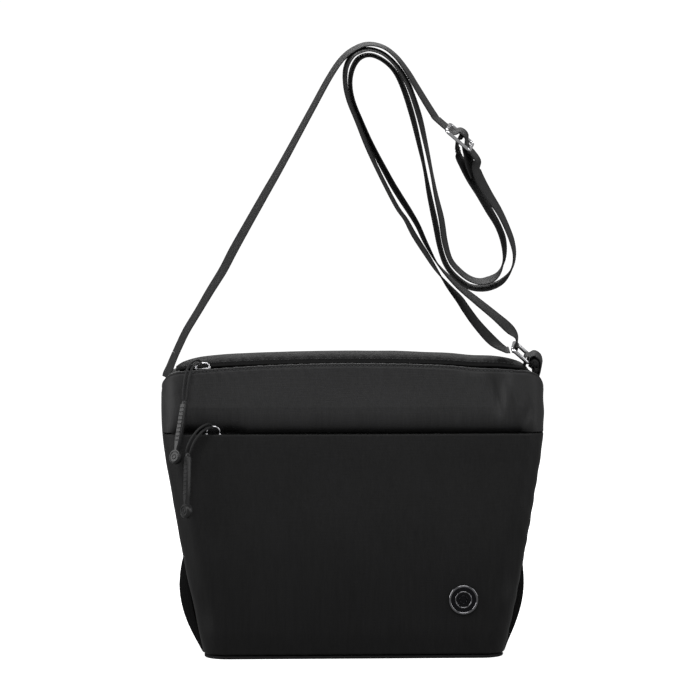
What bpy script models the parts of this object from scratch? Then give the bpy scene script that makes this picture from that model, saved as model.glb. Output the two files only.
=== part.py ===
"""Sling bag: a black nylon crossbody bag with an adjustable webbing strap.

Metres, +Z up. The front faces -Y, +X is to the viewer's right, and the origin is the
centre of the flat base. Every sewn panel, zip part, puller and fitting is its own object.
"""

import math

import bmesh
import bpy
import numpy as np
from mathutils import Matrix, Vector

# --- driving dimensions of the sewn body ----------------------------------------------
FABRIC = 0.0015          # shell fabric with its interlining
GAP = 0.0004             # space kept between pieces that touch
CORNER_RADIUS = 0.016    # rounded vertical edges
SHOULDER_Z = 0.1835      # where the top corners start to slope inwards
SHOULDER_ROUND = 0.78    # 1 is a straight slope's quarter circle, less is a fuller corner
TOP_MID_Z = 0.2025       # front top edge at the centre
TOP_ARCH = 0.005         # how much lower that edge is at the ends of the zip
ZIP_HALF = 0.1145        # half the length of the main zip
POCKET_FOLD_Z = 0.1525   # folded top edge of the front pocket
RECESS_Z = 0.1548        # lower edge of the upper panel, set back behind the pocket zip
RECESS = ((RECESS_Z, 0.0112), (0.1575, 0.0062), (0.1610, 0.0028), (0.1660, 0.0009), (0.172, 0.0))
EAR_TOP_Z = 0.066        # top of the dark lower side gussets
HALF_WIDTH = ((0.0, 0.1035), (0.064, 0.1170), (0.110, 0.1254), (0.1555, 0.1325), (0.21, 0.1325))
HALF_FRONT = ((0.0, 0.0535), (0.02, 0.0555), (0.064, 0.0535), (0.110, 0.0475),
              (0.1555, 0.0390), (0.19, 0.0300), (0.21, 0.0250))
HALF_BACK = ((0.0, 0.0535), (0.02, 0.0555), (0.064, 0.0535), (0.110, 0.0485),
             (0.1555, 0.0425), (0.19, 0.0345), (0.21, 0.0290))
EAR_BULGE = 0.0085
SHOULDER_SHARES = (0.12, 0.3, 0.45, 0.6, 0.72, 0.84)
WALL_HEIGHTS = (0.0026, 0.012, 0.026, 0.045, 0.066, 0.092, 0.122, POCKET_FOLD_Z, 0.168, 0.1815)
LINING = 0.0005
LINING_INSET = 0.0026
POCKET_DEPTH = 0.0125    # pocket lining to main compartment wall, at the top
POCKET_SWELL = 0.006     # extra depth of the pocket at half height

# --- zips ------------------------------------------------------------------------------
ZIP_Y = -0.0157          # centre line of the main zip
ZIP_Z = 0.2004           # its height at the centre
ZIP_RADIUS = ZIP_HALF**2 / (2 * TOP_ARCH) + TOP_ARCH / 2
POCKET_ZIP_Z = 0.1512
POCKET_ZIP_HALF = 0.111
POCKET_ZIP_DEPTH = 0.0071  # zip centre line behind the pocket's face
COIL_GAP = 0.0014        # running space for the slider's wedge between the two rows
COIL_WIDTH = 0.0018
COIL_HEIGHT = 0.0018
TAPE_WIDTH = 0.0025
MAIN_TAPE_FRONT = 0.0052
MAIN_TAPE_BACK = 0.0032
TAPE_THICKNESS = 0.0007
SLIDER_LENGTH = 0.011
SLIDER_WIDTH = 0.0080
SLIDER_PLATE = 0.0010
MAIN_SLIDER_X = -0.1040
POCKET_SLIDER_X = -0.0970
BAIL_WIRE = 0.00055
BAIL_SPAN = 0.0090
MAIN_BAIL = (0.0, 0.0, 0.0026)          # place, lean and rise of the main slider's bail
POCKET_BAIL = (-0.0030, 0.0016, 0.0050)  # the same for the pocket slider's
CORD_RADIUS = 0.0009
BAR_LENGTH = 0.0295
BAR_WIDTH = 0.0046
BAR_THICKNESS = 0.0040
DISC_RADIUS = 0.0049

# --- strap -----------------------------------------------------------------------------
WEBBING_WIDTH = 0.020
WEBBING = 0.0013
TURN_SHARE = 0.06         # share of a path's length that each radian of bend adds to its rows
STRAP_AXIS_LEFT = Vector((-0.1262, 0.0, 0.1945))
RING_TAB_BAR = Vector((0.1243, 0.001, 0.2033))
RING_STRAP_BAR = Vector((0.1138, 0.001, 0.2125))
RING_TRAVEL = (RING_TAB_BAR - RING_STRAP_BAR).normalized()
RING_LEAN = 22.0
RING_WIDTH = 0.0255
RING_ROD = 0.0014
GLIDE_CENTRE = Vector((0.0746, -0.012, 0.3585))
GLIDE_TRAVEL = Vector((0.76, 0.0, -0.65)).normalized()
GLIDE_LEAN = 15.0
GLIDE_BAR_SPACING = 0.0105
GLIDE_WIDTH = 0.0260
GLIDE_ROD = 0.0012

BADGE_X = 0.0744
BADGE_Z = 0.0410
BADGE_RADIUS = 0.0103


def between(table, z):
    """Reads a smooth value from (z, value) pairs."""
    if z <= table[0][0]:
        return table[0][1]
    for k, ((z0, v0), (z1, v1)) in enumerate(zip(table, table[1:])):
        if z <= z1:
            before = table[max(k - 1, 0)]
            after = table[min(k + 2, len(table) - 1)]
            slope0 = (v1 - before[1]) / (z1 - before[0])
            slope1 = (after[1] - v0) / (after[0] - z0)
            t = (z - z0) / (z1 - z0)
            span = z1 - z0
            return (v0 * (2 * t**3 - 3 * t**2 + 1) + v1 * (3 * t**2 - 2 * t**3)
                    + span * slope0 * (t**3 - 2 * t**2 + t) + span * slope1 * (t**3 - t**2))
    return table[-1][1]


def half_width(z):
    return between(HALF_WIDTH, z)


def front(z):
    return between(HALF_FRONT, z)


def back(z):
    return between(HALF_BACK, z)


def arch(x):
    """Drop of the top edge and of the main zip at x, below their centre."""
    return TOP_ARCH * (x / ZIP_HALF) ** 2


def shoulder(share):
    """(x, z) on the rounded top corner, from the side at share 0 to the zip's end at 1."""
    angle = math.pi / 2 * share
    high = TOP_MID_Z - TOP_ARCH
    return (ZIP_HALF + (half_width(SHOULDER_Z) - ZIP_HALF) * max(math.cos(angle), 0.0) ** SHOULDER_ROUND,
            SHOULDER_Z + (high - SHOULDER_Z) * math.sin(angle) ** SHOULDER_ROUND)


def spread(low, high, count):
    return [low + (high - low) * k / (count - 1) for k in range(count)]


# --- building tools --------------------------------------------------------------------
def clear_scene():
    for obj in list(bpy.data.objects):
        bpy.data.objects.remove(obj, do_unlink=True)


def new_collection(name, parent):
    made = bpy.data.collections.new(name)
    parent.children.link(made)
    return made


def material(name, colour, roughness, metallic=0.0):
    made = bpy.data.materials.new(name)
    made.use_nodes = True
    shader = made.node_tree.nodes["Principled BSDF"]
    shader.inputs["Base Color"].default_value = (*colour, 1.0)
    shader.inputs["Roughness"].default_value = roughness
    shader.inputs["Metallic"].default_value = metallic
    made.diffuse_color = (*colour, 1.0)
    return made


def add_object(name, data, look):
    obj = bpy.data.objects.new(name, data)
    PARTS.objects.link(obj)
    data.materials.append(look.copy())
    obj.active_material.name = name
    return obj


def sheet_mesh(name, rows, look, thickness, closed=False, floor=False):
    """A grid of points made into a wall that thickens inwards."""
    bm = bmesh.new()
    grid = [[bm.verts.new(p) for p in row] for row in rows]
    for low, high in zip(grid, grid[1:]):
        pairs = list(zip(range(len(low)), range(1, len(low))))
        if closed:
            pairs.append((len(low) - 1, 0))
        for a, b in pairs:
            bm.faces.new((low[a], low[b], high[b], high[a]))
    if floor:
        bm.faces.new(list(reversed(grid[0])))
    mesh = bpy.data.meshes.new(name)
    bm.to_mesh(mesh)
    bm.free()
    mesh.shade_smooth()
    mesh.set_sharp_from_angle(angle=math.radians(40))
    obj = add_object(name, mesh, look)
    wall = obj.modifiers.new("thickness", "SOLIDIFY")
    wall.thickness = thickness
    wall.offset = -1.0
    return obj


def swept(name, sections, look, round_trip=False):
    """A closed body through matching sections; a round trip joins the last to the first."""
    bm = bmesh.new()
    loops = [[bm.verts.new(p) for p in section] for section in sections]
    count = len(loops[0])
    pairs = list(zip(loops, loops[1:]))
    if round_trip:
        pairs.append((loops[-1], loops[0]))
    for first, second in pairs:
        for k in range(count):
            j = (k + 1) % count
            bm.faces.new((first[k], first[j], second[j], second[k]))
    if not round_trip:
        bm.faces.new(list(reversed(loops[0])))
        bm.faces.new(loops[-1])
    bmesh.ops.recalc_face_normals(bm, faces=bm.faces)
    mesh = bpy.data.meshes.new(name)
    bm.to_mesh(mesh)
    bm.free()
    return add_object(name, mesh, look)


def tube(name, points, radius, look, cyclic=False, sides=2):
    """A round wire or cord along the points."""
    curve = bpy.data.curves.new(name, "CURVE")
    curve.dimensions = "3D"
    curve.bevel_depth = radius
    curve.bevel_resolution = sides
    curve.use_fill_caps = not cyclic
    line = curve.splines.new("POLY")
    line.points.add(len(points) - 1)
    for spot, p in zip(line.points, points):
        spot.co = (*p, 1.0)
    line.use_cyclic_u = cyclic
    return add_object(name, curve, look)


def box(name, low, high, look):
    bm = bmesh.new()
    bmesh.ops.create_cube(bm, size=1.0)
    centre = (Vector(low) + Vector(high)) / 2
    size = Vector(high) - Vector(low)
    bmesh.ops.scale(bm, vec=size, verts=bm.verts)
    bmesh.ops.translate(bm, vec=centre, verts=bm.verts)
    mesh = bpy.data.meshes.new(name)
    bm.to_mesh(mesh)
    bm.free()
    return add_object(name, mesh, look)


def helper(obj):
    """Takes an object out of the parts and hides it as a cutter or a union piece."""
    PARTS.objects.unlink(obj)
    CUTTERS.objects.link(obj)
    obj.hide_render = True
    obj.display_type = "WIRE"
    return obj


def boolean(obj, other, operation):
    step = obj.modifiers.new(operation.lower(), "BOOLEAN")
    step.operation = operation
    step.solver = "EXACT"
    step.object = other


def union_of(name, boxes, look, place):
    """Boxes given as (low, high) corners, joined into one body and put in place."""
    first = box(name, *boxes[0], look)
    first.matrix_world = place
    for k, (low, high) in enumerate(boxes[1:]):
        piece = helper(box(f"{name}_join{k}", low, high, look))
        piece.matrix_world = place
        boolean(first, piece, "UNION")
    return first


def smooth_path(points, count):
    """Rows on a Catmull-Rom curve, closer in bends; the first three numbers are the place."""
    known = np.array([tuple(p) for p in points])
    known = np.vstack([2 * known[0] - known[1], known, 2 * known[-1] - known[-2]])
    t = (np.arange(16) / 16)[:, None]
    fine = []
    for a, b, c, d in zip(known, known[1:], known[2:], known[3:]):
        fine.append(0.5 * (2 * b + (c - a) * t + (2 * a - 5 * b + 4 * c - d) * t**2
                           + (3 * b - a - 3 * c + d) * t**3))
    fine = np.vstack([*fine, known[-2]])
    runs = np.diff(fine[:, :3], axis=0)
    steps = np.linalg.norm(runs, axis=1)
    runs = runs / steps[:, None]
    turn = np.arccos(np.clip((runs[1:] * runs[:-1]).sum(axis=1), -1.0, 1.0))
    steps = steps + TURN_SHARE * steps.sum() * np.concatenate([[0.0], turn])
    along = np.concatenate([[0.0], np.cumsum(steps)])
    wanted = np.linspace(0.0, along[-1], count)
    return np.stack([np.interp(wanted, along, column) for column in fine.T], axis=1)


# --- walls of the body -----------------------------------------------------------------
def front_row(z, inset=0.0, flat_only=False, steps=5, flats=8):
    """Front face at height z with both rounded corners, from the left side to the right."""
    w, f, r = half_width(z) - inset, front(z) - inset, CORNER_RADIUS - inset
    row = []
    if not flat_only:
        for k in range(steps):
            a = math.radians(180 + 90 * k / steps)
            row.append((-w + r + r * math.cos(a), -f + r + r * math.sin(a), z))
    row += [(x, -f, z) for x in spread(-w + r, w - r, flats)]
    if not flat_only:
        for k in range(1, steps + 1):
            a = math.radians(270 + 90 * k / steps)
            row.append((w - r + r * math.cos(a), -f + r + r * math.sin(a), z))
    return row


def recessed_row(z):
    """Row of the upper panel: near the pocket zip it is set back, but not at its corners."""
    depth = between(RECESS, z)
    w = half_width(z)
    return [(x, y + depth * min(max((w - abs(x)) / (CORNER_RADIUS + 0.001), 0.0), 1.0) ** 2, z)
            for x, y, z in front_row(z)]


def back_row(z):
    """Back face at height z, from the right side to the left."""
    turned = front_row(z)
    return [(-x, back(z) - (y + front(z)), z) for x, y, z in turned]


def round_loop(z, inset, front_inset, count=5):
    """Closed loop of a rounded rectangle inside the walls, anticlockwise from above."""
    w, f, b = half_width(z) - inset, front(z) - front_inset, back(z) - inset
    r = CORNER_RADIUS - inset
    loop = []
    for cx, cy, start in ((-w + r, -f + r, 180), (w - r, -f + r, 270),
                          (w - r, b - r, 0), (-w + r, b - r, 90)):
        for k in range(count):
            a = math.radians(start + 90 * k / (count - 1))
            loop.append((cx + r * math.cos(a), cy + r * math.sin(a), z))
    return loop


def top_cutter():
    """Everything above the arched top edge and its sloping corners."""
    corner = [shoulder(share) for share in spread(0.0, 1.0, 9)]
    outline = [(-0.2, SHOULDER_Z - 0.03), *((-x, z) for x, z in corner)]
    outline += [(x, TOP_MID_Z - arch(x)) for x in spread(-ZIP_HALF, ZIP_HALF, 17)[1:-1]]
    outline += [*reversed(corner), (0.2, SHOULDER_Z - 0.03), (0.2, 0.26), (-0.2, 0.26)]
    sections = [[(x, y, z) for x, z in outline] for y in (-0.1, 0.1)]
    return helper(swept("top_cutter", sections, LOOKS["nylon"]))


def body_panels():
    nylon, dark = LOOKS["nylon"], LOOKS["dark"]
    upper = [recessed_row(z) for z in (*(z for z, _ in RECESS), 0.1815, 0.190, 0.199, 0.208)]
    panel = sheet_mesh("front_upper_panel", upper, nylon, FABRIC)
    boolean(panel, top_cutter(), "DIFFERENCE")
    lower = [front_row(z) for z in WALL_HEIGHTS if z <= POCKET_FOLD_Z]
    sheet_mesh("front_pocket_panel", lower, nylon, FABRIC)
    rear = [back_row(z) for z in WALL_HEIGHTS]
    sheet_mesh("back_panel", rear, nylon, FABRIC)
    for side, name in ((-1, "left"), (1, "right")):
        sheet_mesh(f"{name}_side_gusset", side_rows(side), nylon, FABRIC)
        sheet_mesh(f"{name}_corner_gusset", ear_rows(side), dark, FABRIC)
    base_loop = round_loop(0.0, 0.0, 0.0, 6)
    base = [[(x, y, z) for x, y, _ in base_loop] for z in (0.0, 0.0022)]
    swept("bottom_panel", base, dark)
    board_loop = round_loop(0.0, 0.0035, 0.0035, 4)
    board = [[(x, y, z) for x, y, _ in board_loop] for z in (0.0026, 0.0044)]
    swept("base_board", board, LOOKS["board"])


def outward(side, rows):
    """Rows given from front to back face +X; turned about they face -X."""
    return [list(reversed(row)) if side < 0 else row for row in rows]


def side_rows(side):
    """Side gusset: up the side, then over the sloping shoulder to the end of the zip."""
    rows = []
    reach = 6
    for z in (EAR_TOP_Z + GAP, *(z for z in WALL_HEIGHTS if z > EAR_TOP_Z)):
        ys = spread(-front(z) + CORNER_RADIUS + GAP, back(z) - CORNER_RADIUS - GAP, reach)
        rows.append([(side * half_width(z), y, z) for y in ys])
    for share in SHOULDER_SHARES:
        x, z = shoulder(share)
        x -= (FABRIC + GAP) * (1.0 - share)
        z -= 0.0005
        w = half_width(z)
        inner = CORNER_RADIUS - FABRIC - GAP
        along = min(max(x - (w - CORNER_RADIUS), 0.0), inner)
        round_in = CORNER_RADIUS + GAP - math.sqrt(inner**2 - along**2)
        ys = spread(-front(z) + round_in, back(z) - round_in, reach)
        rows.append([(side * x, y, z) for y in ys])
    return outward(side, rows)


def ear_rows(side):
    """Dark lower side gusset, bulging a little beyond the edges of the front and back."""
    rows = []
    for z in (0.0026, 0.012, 0.019, 0.026, 0.035, 0.045, 0.056, EAR_TOP_Z):
        swell = EAR_BULGE * max(math.sin(math.pi * z / EAR_TOP_Z), 0.0) ** 0.8
        low = -front(z) + CORNER_RADIUS + GAP
        high = back(z) - CORNER_RADIUS - GAP
        row = []
        for y in spread(low, high, 8):
            share = max(math.sin(math.pi * (y - low) / (high - low)), 0.0)
            row.append((side * (half_width(z) + swell * share**0.7), y, z))
        rows.append(row)
    return outward(side, rows)


def pocket_inset(z):
    share = math.sin(math.pi * min(z / POCKET_FOLD_Z, 1.0))
    return POCKET_DEPTH + POCKET_SWELL * share


def inner_layers():
    liner = LOOKS["lining"]
    heights = (0.0058, *WALL_HEIGHTS[1:7], 0.1450, 0.1480)
    wall = []
    cover = []
    for z in heights:
        edge = half_width(z) - 0.010
        depth = -front(z) + pocket_inset(z)
        wall.append([(x, depth, z) for x in spread(-edge, edge, 6)])
        depth = -front(z) + FABRIC + GAP
        edge = half_width(z) - CORNER_RADIUS
        cover.append([(x, depth, z) for x in spread(-edge, edge, 6)])
    sheet_mesh("pocket_back_wall", wall, LOOKS["nylon"], FABRIC)
    sheet_mesh("pocket_lining", cover[:-1], liner, LINING)
    rows = []
    for z in (0.0058, *WALL_HEIGHTS[1:7], 0.1450, 0.1480, 0.160, 0.170, 0.1790):
        rows.append(round_loop(z, LINING_INSET, pocket_inset(z) + FABRIC + GAP))
    sheet_mesh("main_lining", rows, liner, LINING, closed=True, floor=True)


def top_facing():
    """Strip of shell fabric that rolls over the top from the back panel to the zip."""
    profile = ((0.0353, -0.0180), (0.0335, -0.0075), (0.0290, -0.0005), (0.0215, 0.0040),
               (0.0125, 0.0062), (0.0035, 0.0066), (-0.0040, 0.0050), (-0.0085, 0.0022),
               (-0.0098, -0.0004))
    rows = []
    for x in spread(-ZIP_HALF - 0.0015, ZIP_HALF + 0.0015, 17):
        fade = 1 - 0.35 * abs(x / ZIP_HALF) ** 6
        drop = 0.6 * arch(x)
        row = [(x, y, max(TOP_MID_Z - drop + dz * (fade if dz > 0 else 1.0), 0.1845))
               for y, dz in profile]
        rows.append(row)
    sheet_mesh("top_facing", rows, LOOKS["nylon"], FABRIC)


# --- zips ------------------------------------------------------------------------------
def arc_strip(name, y_range, z_range, look, stations=19):
    """A straight-sided strip that follows the arch of the main zip."""
    sections = []
    for x in spread(-ZIP_HALF, ZIP_HALF, stations):
        z0 = ZIP_Z - arch(x)
        sections.append([(x, y_range[0], z0 + z_range[0]), (x, y_range[1], z0 + z_range[0]),
                         (x, y_range[1], z0 + z_range[1]), (x, y_range[0], z0 + z_range[1])])
    swept(name, sections, look)


def main_zip():
    half_gap = COIL_GAP / 2
    coil = half_gap + COIL_WIDTH
    thick = TAPE_THICKNESS / 2
    tall = COIL_HEIGHT / 2
    for side, name in ((-1, "front"), (1, "back")):
        ys = sorted((ZIP_Y + side * half_gap, ZIP_Y + side * coil))
        arc_strip(f"main_zip_coil_{name}", ys, (-tall, tall), LOOKS["coil"])
        far = coil + GAP + (MAIN_TAPE_FRONT if side < 0 else MAIN_TAPE_BACK)
        ys = sorted((ZIP_Y + side * (coil + GAP), ZIP_Y + side * far))
        arc_strip(f"main_zip_tape_{name}", ys, (-thick, thick), LOOKS["tape"])
    for side, name in ((-1, "left"), (1, "right")):
        x = side * (ZIP_HALF + 0.0012)
        z = ZIP_Z - arch(x)
        box(f"main_zip_stop_{name}", (x - 0.0008, ZIP_Y - 0.0026, z - 0.0012),
            (x + 0.0008, ZIP_Y + 0.0026, z + 0.0010), LOOKS["chrome"])


def pocket_zip():
    half_gap = COIL_GAP / 2
    coil = half_gap + COIL_WIDTH
    mid = -front(POCKET_ZIP_Z) + POCKET_ZIP_DEPTH
    x = POCKET_ZIP_HALF
    tall = COIL_HEIGHT / 2
    thick = TAPE_THICKNESS / 2
    z = POCKET_ZIP_Z
    for side, name in ((-1, "front"), (1, "back")):
        ys = sorted((mid + side * half_gap, mid + side * coil))
        box(f"pocket_zip_coil_{name}", (-x, ys[0], z - tall), (x, ys[1], z + tall), LOOKS["coil"])
        ys = sorted((mid + side * (coil + GAP), mid + side * (coil + GAP + TAPE_WIDTH)))
        box(f"pocket_zip_tape_{name}", (-x, ys[0], z - thick), (x, ys[1], z + thick), LOOKS["tape"])
    for side, name in ((-1, "left"), (1, "right")):
        end = side * (x + 0.0014)
        box(f"pocket_zip_stop_{name}", (end - 0.0008, mid - 0.0026, z - 0.0010),
            (end + 0.0008, mid + 0.0026, z + 0.0010), LOOKS["chrome"])


def slider(name, place, bail_y, bail_lean, bail_rise):
    """Two plates round the coils with a wedge between the rows, and a wire bail on top."""
    half_l = SLIDER_LENGTH / 2
    half_w = SLIDER_WIDTH / 2
    near = COIL_HEIGHT / 2 + 0.0004
    far = near + SLIDER_PLATE
    blocks = (((-half_l, -half_w, near), (half_l, half_w, far)),
              ((-half_l, -half_w, -far), (half_l, half_w, -near)),
              ((-0.0015, -0.0004, -near - 0.0002), (0.0015, 0.0004, near + 0.0002)))
    union_of(name, blocks, LOOKS["chrome"], place)
    base = Vector((0, bail_y, far + BAIL_WIRE + GAP))
    wire = []
    for k in range(13):
        a = math.pi * k / 12
        share = max(math.sin(a), 0.0) ** 0.7
        wire.append(place @ (base + Vector((-BAIL_SPAN / 2 * math.cos(a), -bail_lean * share,
                                            bail_rise * share))))
    tube(f"{name}_bail", wire, BAIL_WIRE, LOOKS["chrome"])
    return place @ (base + Vector((0, -bail_lean, bail_rise)))


def puller_shape(name, head, tail, face_way):
    """A soft moulded bar with a round disc at its end, in one piece."""
    along = (tail - head).normalized()
    across = along.cross(face_way).normalized()
    outer = across.cross(along).normalized()
    total = (tail - head).length
    disc_at = total - DISC_RADIUS
    outline = [(0.0, 0.0010), (0.0012, BAR_WIDTH / 2), (BAR_LENGTH - 0.002, BAR_WIDTH / 2)]
    neck = math.asin(0.0014 / DISC_RADIUS)
    outline.append((disc_at - DISC_RADIUS * math.cos(neck), 0.0014))
    for k in range(1, 9):
        a = neck + (math.pi - neck) * k / 9
        outline.append((disc_at - DISC_RADIUS * math.cos(a), DISC_RADIUS * math.sin(a)))
    outline.append((total, 0.0))
    half = outline + [(a, -b) for a, b in reversed(outline[:-1])]
    sections = []
    for shift, grow in ((-BAR_THICKNESS / 2, 0.82), (-BAR_THICKNESS / 3, 1.0),
                        (BAR_THICKNESS / 3, 1.0), (BAR_THICKNESS / 2, 0.82)):
        sections.append([head + along * a + across * b * grow + outer * shift for a, b in half])
    return swept(name, sections, LOOKS["rubber"])


def cord_loop(name, points, half_space, look):
    """A doubled cord: down one side from the bail to the puller and back up the other."""
    path = [Vector(p[:3]) for p in smooth_path(points, 12)]
    spaces = [half_space * (1.0 if 0 < k < len(path) - 1 else 0.55) for k in range(len(path))]
    sides = []
    for k, p in enumerate(path):
        run = path[min(k + 1, len(path) - 1)] - path[max(k - 1, 0)]
        sides.append(run.cross(Vector((0, -1, 0.35))).normalized() * spaces[k])
    out = [p + w for p, w in zip(path, sides)]
    home = [p - w for p, w in zip(path, sides)]
    return tube(name, out + list(reversed(home)), CORD_RADIUS, look, cyclic=True, sides=1)


def pull(name, place, bail, line, head, tail, face_way):
    """Slider, bail, doubled cord and moulded puller of one zip."""
    top = slider(f"{name}_slider", place, *bail)
    start = top + Vector((-0.0012, -0.0018, 0.0004))
    stop = head + (head - tail).normalized() * 0.0013
    cord_loop(f"{name}_pull_cord", [start, *line, stop], 0.0012, LOOKS["cord"])
    puller_shape(f"{name}_puller", head, tail, face_way)
    return top


def pulls():
    x = MAIN_SLIDER_X
    slope = Matrix.Rotation(math.atan2(x, ZIP_RADIUS), 4, "Y")
    place = Matrix.Translation((x, ZIP_Y, ZIP_Z - arch(x))) @ slope
    line = [Vector((-0.1085, -0.0240, 0.2032)), Vector((-0.1122, -0.0305, 0.2008)),
            Vector((-0.1146, -0.0352, 0.1950)), Vector((-0.1160, -0.0375, 0.1860))]
    head, tail = Vector((-0.1170, -0.0395, 0.1755)), Vector((-0.1236, -0.0503, 0.1345))
    main_top = pull("main", place, MAIN_BAIL, line, head, tail,
                    Vector((-0.62, -0.78, 0)))
    mid = -front(POCKET_ZIP_Z) + POCKET_ZIP_DEPTH
    place = Matrix.Translation((POCKET_SLIDER_X, mid, POCKET_ZIP_Z))
    line = [Vector((-0.1010, -0.0450, 0.1602)), Vector((-0.1058, -0.0490, 0.1577)),
            Vector((-0.1105, -0.0516, 0.1522)), Vector((-0.1132, -0.0524, 0.1467))]
    head, tail = Vector((-0.1146, -0.0520, 0.1405)), Vector((-0.1158, -0.0600, 0.0982))
    pocket_top = pull("pocket", place, POCKET_BAIL, line, head, tail,
                      Vector((-0.80, -0.60, 0)))
    return main_top, pocket_top


# --- strap -----------------------------------------------------------------------------
def leaned(travel, lean):
    """Width direction of webbing on this run, its front edge leaned to the right of travel."""
    right = Vector((travel.z, 0.0, -travel.x)).normalized()
    angle = math.radians(lean)
    return Vector((0, -1, 0)) * math.cos(angle) + right * math.sin(angle)


def ribbon(name, points, count, look):
    """Webbing along (x, y, z, lean) points in millimetres; a lean is degrees or a direction."""
    spots = [Vector(p[:3]) for p in points]
    rows = []
    for k, p in enumerate(points):
        travel = (spots[min(k + 1, len(spots) - 1)] - spots[max(k - 1, 0)]).normalized()
        way = p[3] if isinstance(p[3], Vector) else leaned(travel, p[3])
        rows.append((*spots[k], *way))
    path = smooth_path(rows, count)
    sections = []
    for k, row in enumerate(path):
        travel = Vector(path[min(k + 1, count - 1)][:3]) - Vector(path[max(k - 1, 0)][:3])
        travel.normalize()
        across = Vector(row[3:])
        across = (across - travel * across.dot(travel)).normalized()
        spot = Vector(row[:3]) / 1000
        a = across * (WEBBING_WIDTH / 2)
        b = travel.cross(across) * (WEBBING / 2)
        sections.append([spot - a - b, spot + a - b, spot + a + b, spot - a + b])
    return swept(name, sections, look)


def round_bar(centre, radius, start, stop, count, width_way):
    """Points that wrap a bar, at angles measured anticlockwise from +X, in millimetres."""
    points = []
    for a in spread(start, stop, count):
        t = math.radians(a)
        spot = centre * 1000 + Vector((math.cos(t), 0, math.sin(t))) * radius
        points.append((*spot, width_way))
    return points


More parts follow.
